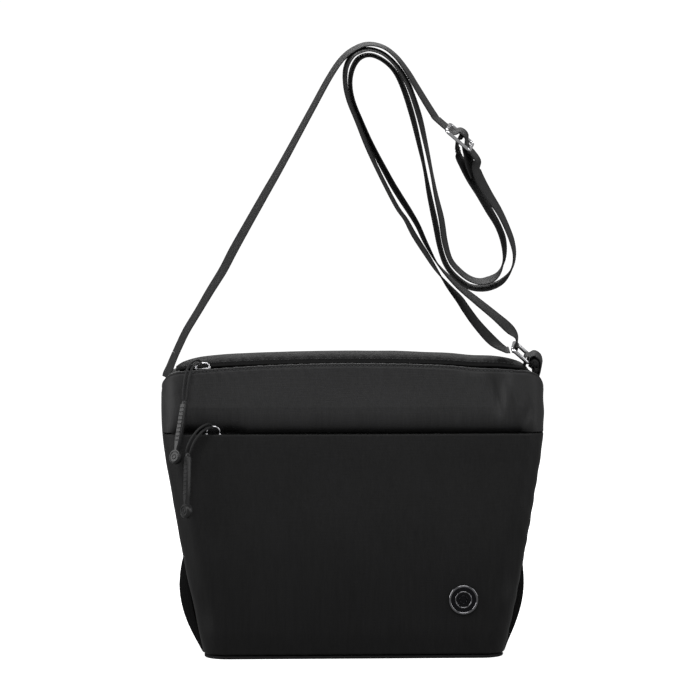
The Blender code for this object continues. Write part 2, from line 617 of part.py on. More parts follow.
def strap():
    webbing = LOOKS["webbing"]
    ribbon("strap_sewn_end", [(-128.3, 2, 195.4, 8), (-127.0, 2, 198.5, 8), (-125.4, 2, 202.5, 8),
                              (-123.3, 2, 207.5, 8)], 6, webbing)
    long_run = [
        (-123.1, 2, 207.9, 8), (-120.3, 2, 214, 10), (-115.4, 2, 224, 12), (-106.9, 2, 238, 13),
        (-98.6, 2, 252, 14.5), (-89.9, 2, 266, 15.5), (-82.6, 2, 280, 16), (-72.8, 2, 297.5, 15),
        (-60.6, 2, 319, 14), (-48.9, 1.5, 339.5, 12.5), (-28.4, 1, 377, 10.5), (-15.8, 0, 400, 10),
        (-7.2, 0, 412.6, 10), (1, 0, 419.6, 10), (11, -1, 423.4, 9.5), (21.5, -2, 421.6, 9.5),
        (30.3, -3, 415.2, 11), (38.2, -4, 405, 13), (44.6, -6, 394.2, 14.5), (51.6, -8, 382.4, 15.5),
        (56.6, -9.6, 374.4, 15.5), (59.4, -10.6, 370.9, 15),
    ]
    ribbon("strap_long_run", long_run, 62, webbing)
    over = GLIDE_CENTRE * 1000
    along = GLIDE_TRAVEL
    up = Vector((-along.z, 0, along.x))
    waves = ((-17.5, -1.2), (-14, -2.0), (-10.5, -2.3), (-6.5, 0.0), (-3, 3.6), (0, 4.4),
             (3, 3.6), (6.5, 0.0), (10.5, -2.3), (13.5, -2.2))
    weave = []
    for s, n in waves:
        p = over + along * s + up * n
        weave.append((*p, leaned(along, GLIDE_LEAN)))
    ribbon("strap_adjuster_bend", weave, 26, webbing)
    last = weave[-1]
    ring_way = leaned(RING_TRAVEL, RING_LEAN)
    outer = [
        (*(Vector(last[:3]) + along * 3.0 - up * 0.6), last[3]),
        (87.6, -12.8, 342.6, 15), (87.6, -13.8, 337.0, 17.5), (90.4, -15, 328.9, 18),
        (95.4, -16.4, 318.6, 18), (101.2, -17.6, 308, 17), (106.4, -19, 297.4, 15), (110.4, -20.5, 286.6, 14),
        (111.9, -22, 276.5, 10), (109.7, -24, 267, 5), (103.6, -25, 259.4, -5), (96, -26, 255.4, -10),
        (88, -26, 254.0, -10.5), (79.6, -26, 255.6, -11), (70.4, -25.5, 262.4, -11.5),
        (64.0, -25, 271, -12), (60.0, -24, 283, -12.5), (57.0, -23, 299, -14), (52.9, -21, 319, -12),
        (49.8, -19.4, 336, -8.5), (46.4, -17.8, 352, -11), (41.2, -15, 374, -13.5), (35.2, -12, 393, -13),
        (29.2, -10, 404.6, -11), (21.4, -9, 412.0, -10), (12.5, -8, 415.6, -9.5), (4.9, -7.5, 413.4, -9),
        (0.2, -7, 406.2, -7), (-1.4, -6.5, 396, -5), (0.6, -6, 384, -4.5), (6.6, -5, 369, -5),
        (14.2, -4, 352, -7), (26.3, -2, 329.5, -8.5), (32.8, -1, 318.6, -9), (39.9, 0, 307.6, -8),
        (46.4, 2, 296.8, -6), (52.4, 3, 284, -4), (60.8, 4, 269.5, 3), (73.0, 4, 256.4, 11),
        (86.8, 3, 245, 15.5), (100.3, 2, 234, 18), (110.4, 1.5, 225, 21), (115.6, 1, 219.2, ring_way),
    ]
    outer += round_bar(RING_STRAP_BAR, 2.75, 30, -120, 7, ring_way)
    ribbon("strap_outer_layer", outer, 150, webbing)
    inner = [
        (110.7, 1, 209.6, ring_way), (107.3, 1, 210.4, ring_way), (98.4, 1.5, 216.6, 21), (88, 2.5, 228, 20),
        (80.4, 3, 238.4, 19), (75.6, 3, 245.4, 17), (67.2, 3.4, 255.4, 9), (59.8, 3.5, 265.4, -2),
        (52.4, 3.2, 277, -6.5), (43.9, 2, 290.2, -7), (38.0, 1, 301, -5), (31.4, 0, 310.4, -4.5),
        (21.0, -2, 330, -4), (11.2, -4, 350.6, -4.5), (3.6, -5.5, 369.2, -4), (-2.4, -6, 384, -4),
        (-4.8, -6.5, 395.4, -5), (-4.4, -7, 406.4, -7), (-0.6, -7.5, 414.4, -9), (5, -8, 418.2, -9.5),
        (12.5, -8, 419.6, -9.5), (21.8, -9, 416.4, -10), (30.4, -10, 408.6, -11), (37, -12, 398.4, -13),
        (41.2, -14, 388.6, -13), (46.4, -16, 372.2, -13.5), (50.8, -18, 352.6, -11), (54.6, -20, 333.6, -8.5),
        (57.6, -21.6, 318, -11), (61.2, -22.5, 302, -14), (63.6, -23.5, 286, -14), (67.4, -24.5, 273.6, -12),
        (74, -25.3, 265.6, -11.5), (81.5, -26, 260.3, -11), (89.0, -26, 258.7, -10.5),
        (96.2, -25.5, 260.9, -10), (102.2, -24, 267, 2), (105.0, -22, 276.4, 11), (104.2, -20.5, 287.6, 16),
        (100.6, -19, 297.6, 16), (94.7, -17.6, 308, 18), (88.7, -16.4, 318.6, 19), (82.3, -15, 329.6, 20),
        (77.2, -14.2, 339.6, 21),
    ]
    foot = over + along * 8.0 - up * 9.6
    neck = over + along * 3.2 - up * 6.4
    hem = over + along * 0.6 - up * 3.3
    inner += [(*p, leaned(along, GLIDE_LEAN)) for p in (foot, neck, hem)]
    inner.reverse()
    ribbon("strap_inner_layer", inner, 150, webbing)


def oriented(centre, length_way, width_way):
    normal = length_way.cross(width_way).normalized()
    turn = Matrix((length_way, width_way, normal)).transposed().to_4x4()
    return Matrix.Translation(centre) @ turn


def rounded_frame(name, place, length, width, rod, corner, look, bar=False):
    """A wire rectangle in its own plane, with an optional bar across the middle."""
    points = []
    for cx, cy, start in ((1, 1, 0), (-1, 1, 90), (-1, -1, 180), (1, -1, 270)):
        for k in range(4):
            a = math.radians(start + 30 * k)
            local = Vector((cx * (length / 2 - corner) + corner * math.cos(a),
                            cy * (width / 2 - corner) + corner * math.sin(a), 0))
            points.append(place @ local)
    frame = tube(name, points, rod, look, cyclic=True)
    if not bar:
        return frame
    ends = [place @ Vector((0, y, 0)) for y in (-width / 2, width / 2)]
    rail = tube(f"{name}_rail", ends, rod * 0.9, look)
    return welded_union(frame, rail)


def as_mesh(obj):
    """Turns a curve object into a welded mesh object of the same name."""
    bpy.context.view_layer.update()
    graph = bpy.context.evaluated_depsgraph_get()
    mesh = bpy.data.meshes.new_from_object(obj.evaluated_get(graph))
    bm = bmesh.new()
    bm.from_mesh(mesh)
    bmesh.ops.remove_doubles(bm, verts=bm.verts, dist=1e-6)
    bmesh.ops.recalc_face_normals(bm, faces=bm.faces)
    bm.to_mesh(mesh)
    bm.free()
    name, placed = obj.name, obj.matrix_world.copy()
    bpy.data.objects.remove(obj, do_unlink=True)
    made = bpy.data.objects.new(name, mesh)
    made.matrix_world = placed
    PARTS.objects.link(made)
    return made


def welded_union(first, second):
    first, second = as_mesh(first), as_mesh(second)
    boolean(first, helper(second), "UNION")
    return first


def fittings():
    chrome = LOOKS["chrome"]
    place = oriented(GLIDE_CENTRE, GLIDE_TRAVEL, leaned(GLIDE_TRAVEL, GLIDE_LEAN))
    rounded_frame("adjuster_slider", place, 2 * GLIDE_BAR_SPACING, GLIDE_WIDTH, GLIDE_ROD,
                  0.0025, chrome, bar=True)
    centre = (RING_TAB_BAR + RING_STRAP_BAR) / 2
    length = (RING_TAB_BAR - RING_STRAP_BAR).length
    place = oriented(centre, RING_TRAVEL, leaned(RING_TRAVEL, RING_LEAN))
    rounded_frame("strap_ring", place, length, RING_WIDTH, RING_ROD, 0.0025, chrome)


def ring_tab():
    """Webbing tab: out of the corner seam, over the ring's lower bar and back."""
    way = leaned(RING_TRAVEL, RING_LEAN)
    points = [(122.3, 1, 199.2, way), (121.5, 1, 200.6, way)]
    points += round_bar(RING_TAB_BAR, 3.0, 205, 75, 6, way)
    points += [(128.5, 1, 207.2, way), (131.8, 1, 205.2, way), (133.2, 1, 201.6, way),
               (133.0, 1, 198.0, way), (132.4, 1, 195.6, way)]
    ribbon("ring_tab", points, 26, LOOKS["webbing"])


def badge():
    """Round cast badge with plain rings, and the washer that holds it from inside."""
    face = -front(BADGE_Z)
    profile = ((BADGE_RADIUS, 0.0), (BADGE_RADIUS, 0.0012), (BADGE_RADIUS - 0.0006, 0.0018),
               (BADGE_RADIUS - 0.0016, 0.0018), (BADGE_RADIUS - 0.0020, 0.0011),
               (0.0058, 0.0011), (0.0052, 0.0016), (0.0032, 0.0016), (0.0026, 0.0011), (0.0, 0.0011))
    turned("badge", profile, Vector((BADGE_X, face - 0.0004, BADGE_Z)), LOOKS["gunmetal"])
    washer = ((0.0070, 0.0), (0.0070, 0.0006), (0.0, 0.0006))
    turned("badge_washer", washer, Vector((BADGE_X, face + 0.0042, BADGE_Z)), LOOKS["chrome"])


def turned(name, profile, place, look):
    """A round piece about an axis along -Y; the profile gives (radius, height)."""
    steps = 32
    bm = bmesh.new()
    rings = []
    for radius, height in profile[:-1]:
        rings.append([bm.verts.new((radius * math.cos(2 * math.pi * k / steps), -height,
                                    radius * math.sin(2 * math.pi * k / steps)))
                      for k in range(steps)])
    for low, high in zip(rings, rings[1:]):
        for k in range(steps):
            j = (k + 1) % steps
            bm.faces.new((low[k], low[j], high[j], high[k]))
    bm.faces.new(rings[0])
    bm.faces.new(list(reversed(rings[-1])))
    bmesh.ops.recalc_face_normals(bm, faces=bm.faces)
    mesh = bpy.data.meshes.new(name)
    bm.to_mesh(mesh)
    bm.free()
    obj = add_object(name, mesh, look)
    obj.location = place
    return obj


def pivot(name, spot, nodes, parent=None):
    """An empty on a joint's axis that carries the pieces of one moving body."""
    empty = bpy.data.objects.new(name, None)
    empty.empty_display_size = 0.01
    PARTS.objects.link(empty)
    empty.matrix_world = Matrix.Translation(spot)
    if parent:
        empty.parent = parent
        empty.matrix_parent_inverse = parent.matrix_world.inverted()
    bpy.context.view_layer.update()
    for node in nodes:
        obj = bpy.data.objects[node]
        obj.parent = empty
        obj.matrix_parent_inverse = empty.matrix_world.inverted()
    return empty


clear_scene()
ROOT = bpy.context.scene.collection
PARTS = new_collection("sling_bag", ROOT)
CUTTERS = new_collection("cutters", ROOT)
CUTTERS.hide_render = True
LOOKS = {
    "nylon": material("nylon", (0.028, 0.028, 0.030), 0.55),
    "dark": material("dark", (0.012, 0.012, 0.013), 0.80),
    "lining": material("lining", (0.05, 0.05, 0.055), 0.65),
    "board": material("board", (0.10, 0.10, 0.10), 0.80),
    "webbing": material("webbing", (0.020, 0.020, 0.021), 0.75),
    "tape": material("tape", (0.015, 0.015, 0.016), 0.80),
    "coil": material("coil", (0.020, 0.020, 0.022), 0.40),
    "cord": material("cord", (0.015, 0.015, 0.016), 0.60),
    "rubber": material("rubber", (0.020, 0.020, 0.022), 0.50),
    "chrome": material("chrome", (0.80, 0.80, 0.82), 0.15, 1.0),
    "gunmetal": material("gunmetal", (0.10, 0.10, 0.11), 0.25, 1.0),
}
body_panels()
inner_layers()
top_facing()
main_zip()
pocket_zip()
MAIN_TOP, POCKET_TOP = pulls()
badge()
strap()
fittings()
ring_tab()
ZIP_ARC = pivot("main_zip_arc_centre", (0.0, ZIP_Y, ZIP_Z - ZIP_RADIUS),
                ("main_slider", "main_slider_bail"))
pivot("main_pull_axis", MAIN_TOP, ("main_pull_cord", "main_puller"), ZIP_ARC)
POCKET_LINE = pivot("pocket_zip_line", (POCKET_SLIDER_X, -front(POCKET_ZIP_Z) + POCKET_ZIP_DEPTH,
                                        POCKET_ZIP_Z), ("pocket_slider", "pocket_slider_bail"))
pivot("pocket_pull_axis", POCKET_TOP, ("pocket_pull_cord", "pocket_puller"), POCKET_LINE)
pivot("strap_axis", RING_TAB_BAR,
      ("strap_long_run", "strap_adjuster_bend", "strap_outer_layer", "strap_inner_layer",
       "adjuster_slider", "strap_ring"))
for spare in LOOKS.values():
    bpy.data.materials.remove(spare)
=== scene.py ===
"""The looks of a black nylon sling bag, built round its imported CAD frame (metres, +Z up)."""
import math

import bmesh
import bpy
import numpy as np
from mathutils import Matrix, Vector, noise


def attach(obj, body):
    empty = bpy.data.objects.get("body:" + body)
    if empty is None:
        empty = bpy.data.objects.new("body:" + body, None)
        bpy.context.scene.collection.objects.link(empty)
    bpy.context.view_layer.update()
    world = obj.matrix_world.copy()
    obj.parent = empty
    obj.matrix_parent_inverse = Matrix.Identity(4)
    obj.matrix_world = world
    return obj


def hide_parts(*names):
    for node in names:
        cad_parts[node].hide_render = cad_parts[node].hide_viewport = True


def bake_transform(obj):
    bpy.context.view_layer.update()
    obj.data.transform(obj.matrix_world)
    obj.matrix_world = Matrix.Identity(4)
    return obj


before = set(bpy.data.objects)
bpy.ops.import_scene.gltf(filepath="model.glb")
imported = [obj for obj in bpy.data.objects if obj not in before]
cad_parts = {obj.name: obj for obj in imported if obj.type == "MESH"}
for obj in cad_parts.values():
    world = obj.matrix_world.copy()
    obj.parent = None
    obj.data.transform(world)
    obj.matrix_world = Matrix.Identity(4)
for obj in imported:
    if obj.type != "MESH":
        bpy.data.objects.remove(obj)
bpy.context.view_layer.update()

# --- driving dimensions, the same as the frame's --------------------
FABRIC = 0.0015
CORNER_RADIUS = 0.016
SHOULDER_Z = 0.1835
SHOULDER_ROUND = 0.78
TOP_MID_Z = 0.2025
TOP_ARCH = 0.005
ZIP_HALF = 0.1145
ZIP_Y = -0.0157
ZIP_Z = 0.2004
ZIP_RADIUS = ZIP_HALF**2 / (2 * TOP_ARCH) + TOP_ARCH / 2
POCKET_FOLD_Z = 0.1525
RECESS = ((0.1548, 0.0112), (0.1575, 0.0062), (0.1610, 0.0028), (0.1660, 0.0009), (0.172, 0.0))
BACK_TOP_Z = 0.1815
EAR_TOP_Z = 0.066
EAR_BULGE = 0.0085
BASE_Z = 0.0026
HALF_WIDTH = ((0.0, 0.1035), (0.064, 0.1170), (0.110, 0.1254), (0.1555, 0.1325), (0.21, 0.1325))
HALF_FRONT = ((0.0, 0.0535), (0.02, 0.0555), (0.064, 0.0535), (0.110, 0.0475),
              (0.1555, 0.0390), (0.19, 0.0300), (0.21, 0.0250))
HALF_BACK = ((0.0, 0.0535), (0.02, 0.0555), (0.064, 0.0535), (0.110, 0.0485),
             (0.1555, 0.0425), (0.19, 0.0345), (0.21, 0.0290))
SEAM_ROLL = 0.0019       # radius of an edge turned under at a seam
SEAM_GAP = 0.0004        # clear space between a side piece and the panel round the corner
STITCH_PITCH = 0.0026
WEBBING_WIDTH = 0.020
WEBBING = 0.0013
RIB_PITCH = 0.0017       # one diagonal rib of the webbing's weave

MM = 0.001


# --- reading the driving tables --------------------
def between(table, z):
    """Reads a smooth value from (z, value) pairs, for one height."""
    if z <= table[0][0]:
        return table[0][1]
    for k, ((z0, v0), (z1, v1)) in enumerate(zip(table, table[1:])):
        if z <= z1:
            before = table[max(k - 1, 0)]
            after = table[min(k + 2, len(table) - 1)]
            slope0 = (v1 - before[1]) / (z1 - before[0])
            slope1 = (after[1] - v0) / (after[0] - z0)
            t = (z - z0) / (z1 - z0)
            span = z1 - z0
            return (v0 * (2 * t**3 - 3 * t**2 + 1) + v1 * (3 * t**2 - 2 * t**3)
                    + span * slope0 * (t**3 - 2 * t**2 + t) + span * slope1 * (t**3 - t**2))
    return table[-1][1]


def reader(table):
    """A function that reads the table at an array of heights."""
    heights = np.linspace(0.0, 0.215, 431)
    values = np.array([between(table, z) for z in heights])
    return lambda z: np.interp(z, heights, values)


half_width, front, back, recess = map(reader, (HALF_WIDTH, HALF_FRONT, HALF_BACK, RECESS))


def arch(x):
    """How far the top zip drops below its middle."""
    return TOP_ARCH * (x / ZIP_HALF) ** 2


def bump(x, centre, reach):
    """1 at the centre, fading to nothing a few reaches away."""
    return np.exp(-(((x - centre) / reach) ** 2))


def shoulder(share):
    """(x, z) on the rounded top corner, from the side at share 0 to the zip's end at 1."""
    angle = math.pi / 2 * np.asarray(share, float)
    high = TOP_MID_Z - TOP_ARCH
    wide = half_width(SHOULDER_Z)
    return (ZIP_HALF + (wide - ZIP_HALF) * np.maximum(np.cos(angle), 0.0) ** SHOULDER_ROUND,
            SHOULDER_Z + (high - SHOULDER_Z) * np.sin(angle) ** SHOULDER_ROUND)


def rough(points, scale, seed):
    """Smooth random values in -1..1 for an (..., 3) array of points."""
    flat = points.reshape(-1, 3) * scale
    shift = Vector((seed * 7.3, seed * 3.1, seed * 5.7))
    values = [noise.noise(Vector(p) + shift) for p in flat]
    return np.array(values).reshape(points.shape[:-1])


# --- meshes --------------------
def grid_faces(rows, cols, closed=False):
    index = np.arange(rows * cols).reshape(rows, cols)
    if closed:
        index = np.hstack([index, index[:, :1]])
    return np.stack([index[:-1, :-1], index[:-1, 1:], index[1:, 1:], index[1:, :-1]],
                    axis=-1).reshape(-1, 4)


def linked(name, data):
    obj = bpy.data.objects.new(name, data)
    bpy.context.scene.collection.objects.link(obj)
    return obj


def mesh_object(name, points, faces, look, smooth=40):
    """An object from points and faces; edges sharper than smooth degrees stay sharp."""
    mesh = bpy.data.meshes.new(name)
    mesh.from_pydata([tuple(p) for p in points], [], [tuple(int(i) for i in f) for f in faces])
    return finished_mesh(name, mesh, look, smooth)


def finished_mesh(name, mesh, look, smooth):
    mesh.materials.append(look)
    mesh.shade_smooth()
    if smooth < 180:
        mesh.set_sharp_from_angle(angle=math.radians(smooth))
    mesh.update()
    return linked(name, mesh)


def capped(rows, cols):
    """Faces of a tube of point rings, with one face over each end."""
    last = (rows - 1) * cols
    return [*grid_faces(rows, cols, closed=True).tolist(), list(range(cols)),
            [last + k for k in reversed(range(cols))]]


def run_along(path):
    """Distance along a path to each of its points."""
    return np.concatenate([[0.0], np.cumsum(np.linalg.norm(np.diff(path, axis=0), axis=1))])


def sampled(path, run, wanted):
    """The path's columns at the wanted distances along it."""
    return np.stack([np.interp(wanted, run, column) for column in path.T], axis=1)


def normals_of(grid):
    """Unit normals of a grid of points; they face out when rows go up and columns right."""
    along = np.gradient(grid, axis=1)
    up = np.gradient(grid, axis=0)
    out = np.cross(along, up)
    return out / np.maximum(np.linalg.norm(out, axis=-1, keepdims=True), 1e-12)


def rim_distance(grid, sides):
    """Distance along the cloth from each point to the nearest of the named sides."""
    step = np.linalg.norm(np.diff(grid, axis=0), axis=-1)
    up = np.vstack([np.zeros((1, grid.shape[1])), np.cumsum(step, axis=0)])
    step = np.linalg.norm(np.diff(grid, axis=1), axis=-1)
    across = np.hstack([np.zeros((grid.shape[0], 1)), np.cumsum(step, axis=1)])
    choices = {"low": up, "high": up[-1:] - up,
               "left": across, "right": across[:, -1:] - across}
    return np.min([choices[side] for side in sides], axis=0)


def turned_under(grid, sides, radius=SEAM_ROLL):
    """Rolls the cloth's edges inwards, as a seam does."""
    near = np.clip(radius - rim_distance(grid, sides), 0.0, radius)
    return grid - normals_of(grid) * (radius - np.sqrt(radius**2 - near**2))[..., None]


def cloth(name, grid, look, node, thickness=FABRIC):
    """A sewn panel of the bag: the grid is its outer face, and it thickens inwards."""
    obj = mesh_object(name, grid.reshape(-1, 3), grid_faces(*grid.shape[:2]), look)
    wall = obj.modifiers.new("thickness", "SOLIDIFY")
    wall.thickness = thickness
    wall.offset = -1.0
    place(obj, "bag", (node,))


def place(obj, body, nodes):
    """body is a body's name, which the object is attached to; (start, end) points, where cloth
    passes from bag to strap, are not used, and the object is then attached to no body.
    """
    if isinstance(body, str):
        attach(obj, body)
    else:
        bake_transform(obj)
    if nodes:
        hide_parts(*nodes)


def ends_close(low, high, count, reach=0.0022, extra=5):
    """Evenly spaced values with a few more near both ends, where the cloth turns."""
    inner = np.linspace(low + reach, high - reach, count)
    rim = np.linspace(0.0, reach, extra, endpoint=False)
    return np.concatenate([low + rim, inner, np.sort(high - rim)])


def frames_along(path, across):
    """Unit width and thickness directions at each point of a path."""
    travel = np.gradient(path, axis=0)
    travel /= np.linalg.norm(travel, axis=1, keepdims=True)
    width = across - travel * (across * travel).sum(axis=1, keepdims=True)
    width /= np.linalg.norm(width, axis=1, keepdims=True)
    return width, np.cross(travel, width)


def tube(name, path, radius, look, sides=16, closed=False, twist=0.0, lobes=0, depth=0.0):
    """A round wire or cord; twist, lobes and depth give a cord its braid."""
    path = np.array(path, float)
    count = len(path)
    if closed:
        travel = np.roll(path, -1, axis=0) - np.roll(path, 1, axis=0)
    else:
        travel = np.gradient(path, axis=0)
    travel /= np.linalg.norm(travel, axis=1, keepdims=True)
    side = np.zeros_like(path)
    start = np.cross(travel[0], (0.0, 0.0, 1.0))
    if np.linalg.norm(start) < 0.1:
        start = np.cross(travel[0], (0.0, 1.0, 0.0))
    side[0] = start / np.linalg.norm(start)
    for k in range(1, count):
        carried = side[k - 1] - travel[k] * side[k - 1].dot(travel[k])
        side[k] = carried / np.linalg.norm(carried)
    if closed:
        last = side[-1] - travel[0] * side[-1].dot(travel[0])
        slip = math.atan2(np.cross(side[0], last).dot(travel[0]), side[0].dot(last))
        turn = -slip * np.arange(count) / count
        other = np.cross(travel, side)
        side = side * np.cos(turn)[:, None] + other * np.sin(turn)[:, None]
    other = np.cross(travel, side)
    run = run_along(path)
    angle = np.linspace(0.0, 2 * math.pi, sides, endpoint=False)
    thick = np.broadcast_to(np.asarray(radius, float), (count,))[:, None]
    if lobes:
        braid = np.cos(lobes * angle[None] + run[:, None] * twist)
        braid = braid * np.cos(lobes * angle[None] - run[:, None] * twist)
        thick = thick + depth * braid
    ring = (path[:, None] + side[:, None] * (np.cos(angle)[None] * thick)[..., None]
            + other[:, None] * (np.sin(angle)[None] * thick)[..., None])
    faces = grid_faces(count, sides, closed=True)[:, ::-1].tolist()
    base = (count - 1) * sides
    if closed:
        faces += [[base + k, base + (k + 1) % sides, (k + 1) % sides, k] for k in range(sides)]
    else:
        faces.append(list(range(sides)))
        faces.append([base + k for k in reversed(range(sides))])
    obj = mesh_object(name, ring.reshape(-1, 3), faces, look, smooth=60)
    recalc(obj)
    return obj


def recalc(obj):
    bm = bmesh.new()
    bm.from_mesh(obj.data)
    bmesh.ops.recalc_face_normals(bm, faces=bm.faces)
    bm.to_mesh(obj.data)
    bm.free()


def join(name, objects):
    """Joins mesh objects into one, keeping their materials."""
    first = objects[0]
    with bpy.context.temp_override(active_object=first, selected_editable_objects=objects):
        bpy.ops.object.join()
    first.name = name
    return first


CAPSULE = ((0.0, 0.25), (0.15, 0.85), (0.5, 1.0), (0.85, 0.85), (1.0, 0.25))   # (along, radius)
CAPSULE_SIDES = 6
STITCH_BOW = (-0.00014, 0.00004, 0.00012, 0.00004, -0.00014)    # the ends dip into the cloth
STITCH_LIFT = 0.00006
STITCH_SHARE = 0.78      # the longest a stitch may be, as a share of its pitch


def stitches(name, spots, outs, body, length=0.0019, radius=0.00022):
    """A run of thread stitches, one from each spot towards the next, sunk into the cloth."""
    ring = np.linspace(0, 2 * math.pi, CAPSULE_SIDES, endpoint=False)
    capsule = np.array([[(t, r * math.cos(a), r * math.sin(a)) for a in ring] for t, r in CAPSULE])
    t, b, n = capsule[..., :1], capsule[..., 1:2], capsule[..., 2:]
    bow = np.array(STITCH_BOW)[:, None, None]
    one = capped(len(CAPSULE), CAPSULE_SIDES)
    points, faces = [], []
    for spot, way, out in zip(spots[:-1], np.diff(spots, axis=0), outs[:-1]):
        gap = np.linalg.norm(way)
        way = way / gap
        use = min(length, gap * STITCH_SHARE)
        side = np.cross(out, way)
        start = len(points) * len(CAPSULE) * CAPSULE_SIDES
        points.append((spot + way * t * use + side * b * radius
                       + out * (n * radius * 0.8 + STITCH_LIFT + bow)).reshape(-1, 3))
        faces += [[start + k for k in face] for face in one]
    obj = mesh_object(name, np.concatenate(points), faces, THREAD, smooth=180)
    recalc(obj)
    place(obj, body, ())


def evenly(line, outs, margin=0.0):
    """Points a stitch apart along a line of the cloth, and the normals there."""
    run = run_along(line)
    wanted = np.arange(margin, run[-1] - margin, STITCH_PITCH)
    return sampled(line, run, wanted), sampled(outs, run, wanted)


# --- materials --------------------
class Look:
    """A Principled material with small helpers for its nodes."""

    def __init__(self, name, colour, roughness, metallic=0.0):
        self.mat = bpy.data.materials.new(name)
        self.mat.use_nodes = True
        self.nodes = self.mat.node_tree.nodes
        self.links = self.mat.node_tree.links
        self.shader = self.nodes["Principled BSDF"]
        self.set("Base Color", (*colour, 1.0))
        self.set("Roughness", roughness)
        self.set("Metallic", metallic)
        self.mat.diffuse_color = (*colour, 1.0)
        self.coord = self.nodes.new("ShaderNodeTexCoord").outputs["Object"]

    def set(self, socket, value):
        self.shader.inputs[socket].default_value = value

    def add(self, kind, sockets, **settings):
        """A new node; each socket takes a value, or another node's output."""
        node = self.nodes.new(f"ShaderNode{kind}")
        for name, value in settings.items():
            setattr(node, name, value)
        for key, value in sockets.items():
            if isinstance(value, bpy.types.NodeSocket):
                self.links.new(value, node.inputs[key])
            else:
                node.inputs[key].default_value = value
        return node

    def spread(self, scale, turn=(0.0, 0.0, 0.0)):
        sockets = {"Scale": scale, "Rotation": turn, "Vector": self.coord}
        return self.add("Mapping", sockets).outputs["Vector"]

    def noise(self, scale, detail=2.0):
        sockets = {"Scale": 1.0, "Detail": detail, "Roughness": 0.5, "Vector": self.spread(scale)}
        return self.add("TexNoise", sockets).outputs["Fac"]

    def wave(self, scale, turn, distort):
        sockets = {"Scale": 1.0, "Distortion": distort, "Vector": self.spread(scale, turn)}
        return self.add("TexWave", sockets, bands_direction="Y").outputs["Fac"]

    def times(self, value, factor):
        return self.add("Math", {0: value, 1: factor}, operation="MULTIPLY").outputs[0]

    def plus(self, a, b):
        return self.add("Math", {0: a, 1: b}, operation="ADD").outputs[0]

    def ramp(self, value, low, high):
        """Maps 0..1 to low..high."""
        sockets = {"Value": value, "To Min": low, "To Max": high}
        return self.add("MapRange", sockets).outputs["Result"]

    def colours(self, value, low, high):
        sockets = {"Factor": value, 6: (*low, 1.0), 7: (*high, 1.0)}
        node = self.add("Mix", sockets, data_type="RGBA")
        self.links.new(node.outputs[2], self.shader.inputs["Base Color"])

    def bump(self, height, distance, strength=1.0):
        node = self.add("Bump", {"Strength": strength, "Distance": distance, "Height": height})
        self.links.new(node.outputs["Normal"], self.shader.inputs["Normal"])

    def rough(self, value):
        self.links.new(value, self.shader.inputs["Roughness"])


def nylon(name, dark, light, roughness, gloss=0.30):
    """Fine woven nylon: slubby vertical threads over a tight cross weave."""
    look = Look(name, dark, roughness)
    streak = look.noise((1500.0, 1500.0, 70.0), 3.0)
    slub = look.noise((420.0, 420.0, 28.0), 2.0)
    weft = look.noise((90.0, 90.0, 1900.0), 2.0)
    patch = look.noise((26.0, 26.0, 18.0), 3.0)
    thread = look.plus(look.times(streak, 0.55), look.times(slub, 0.45))
    mixed = look.plus(look.times(thread, 0.7), look.times(patch, 0.3))
    look.colours(look.ramp(mixed, -0.6, 1.6), dark, light)
    look.bump(look.plus(thread, look.times(weft, 0.35)), 0.00022)
    look.rough(look.ramp(patch, roughness - 0.05, roughness + 0.07))
    look.set("Sheen Weight", 0.035)
    look.set("Sheen Roughness", 0.4)
    look.set("Specular IOR Level", gloss)
    return look.mat


def ribbed_cloth(name, dark, light, pitch, turn):
    """Dark side fabric with a fine diagonal rib."""
    look = Look(name, dark, 0.75)
    rib = look.wave((1.0 / pitch / 3.2,) * 3, turn, 0.6)
    grain = look.noise((1400.0, 1400.0, 1400.0), 2.0)
    mixed = look.plus(look.times(rib, 0.8), look.times(grain, 0.2))
    look.colours(mixed, dark, light)
    look.bump(mixed, 0.0004)
    look.set("Specular IOR Level", 0.03)
    return look.mat


def woven(name, dark, light, roughness, depth=0.00015, scale=1600.0):
    """Yarn or tape: a fine even grain."""
    look = Look(name, dark, roughness)
    grain = look.noise((scale, scale, scale), 3.0)
    look.colours(look.ramp(grain, -0.5, 1.5), dark, light)
    look.bump(grain, depth)
    look.rough(look.ramp(grain, roughness - 0.08, roughness + 0.08))
    look.set("Sheen Weight", 0.03)
    look.set("Sheen Roughness", 0.35)
    look.set("Specular IOR Level", 0.25)
    return look.mat


def metal(name, colour, roughness):
    """Plated or painted metal, a little uneven in colour and polish."""
    look = Look(name, colour, roughness, 1.0)
    cloud = look.noise((350.0, 350.0, 350.0), 4.0)
    look.rough(look.ramp(cloud, 0.8 * roughness, 1.25 * roughness))
    look.colours(cloud, tuple(0.94 * c for c in colour),
                 tuple(min(1.05 * c, 1.0) for c in colour))
    look.bump(cloud, 0.00002, 0.5)
    return look.mat


def moulded(name, dark, light, roughness):
    """Rubber or plastic with a fine moulded grain."""
    look = Look(name, dark, roughness)
    grain = look.noise((2600.0, 2600.0, 2600.0), 3.0)
    cloud = look.noise((160.0, 160.0, 160.0), 3.0)
    look.colours(look.ramp(cloud, -0.3, 1.3), dark, light)
    look.bump(grain, 0.00003)
    look.rough(look.ramp(cloud, roughness - 0.07, roughness + 0.09))
    look.set("Specular IOR Level", 0.35)
    return look.mat


def grey(value):
    """A grey that is a little blue."""
    return (value, value, value * 1.03)


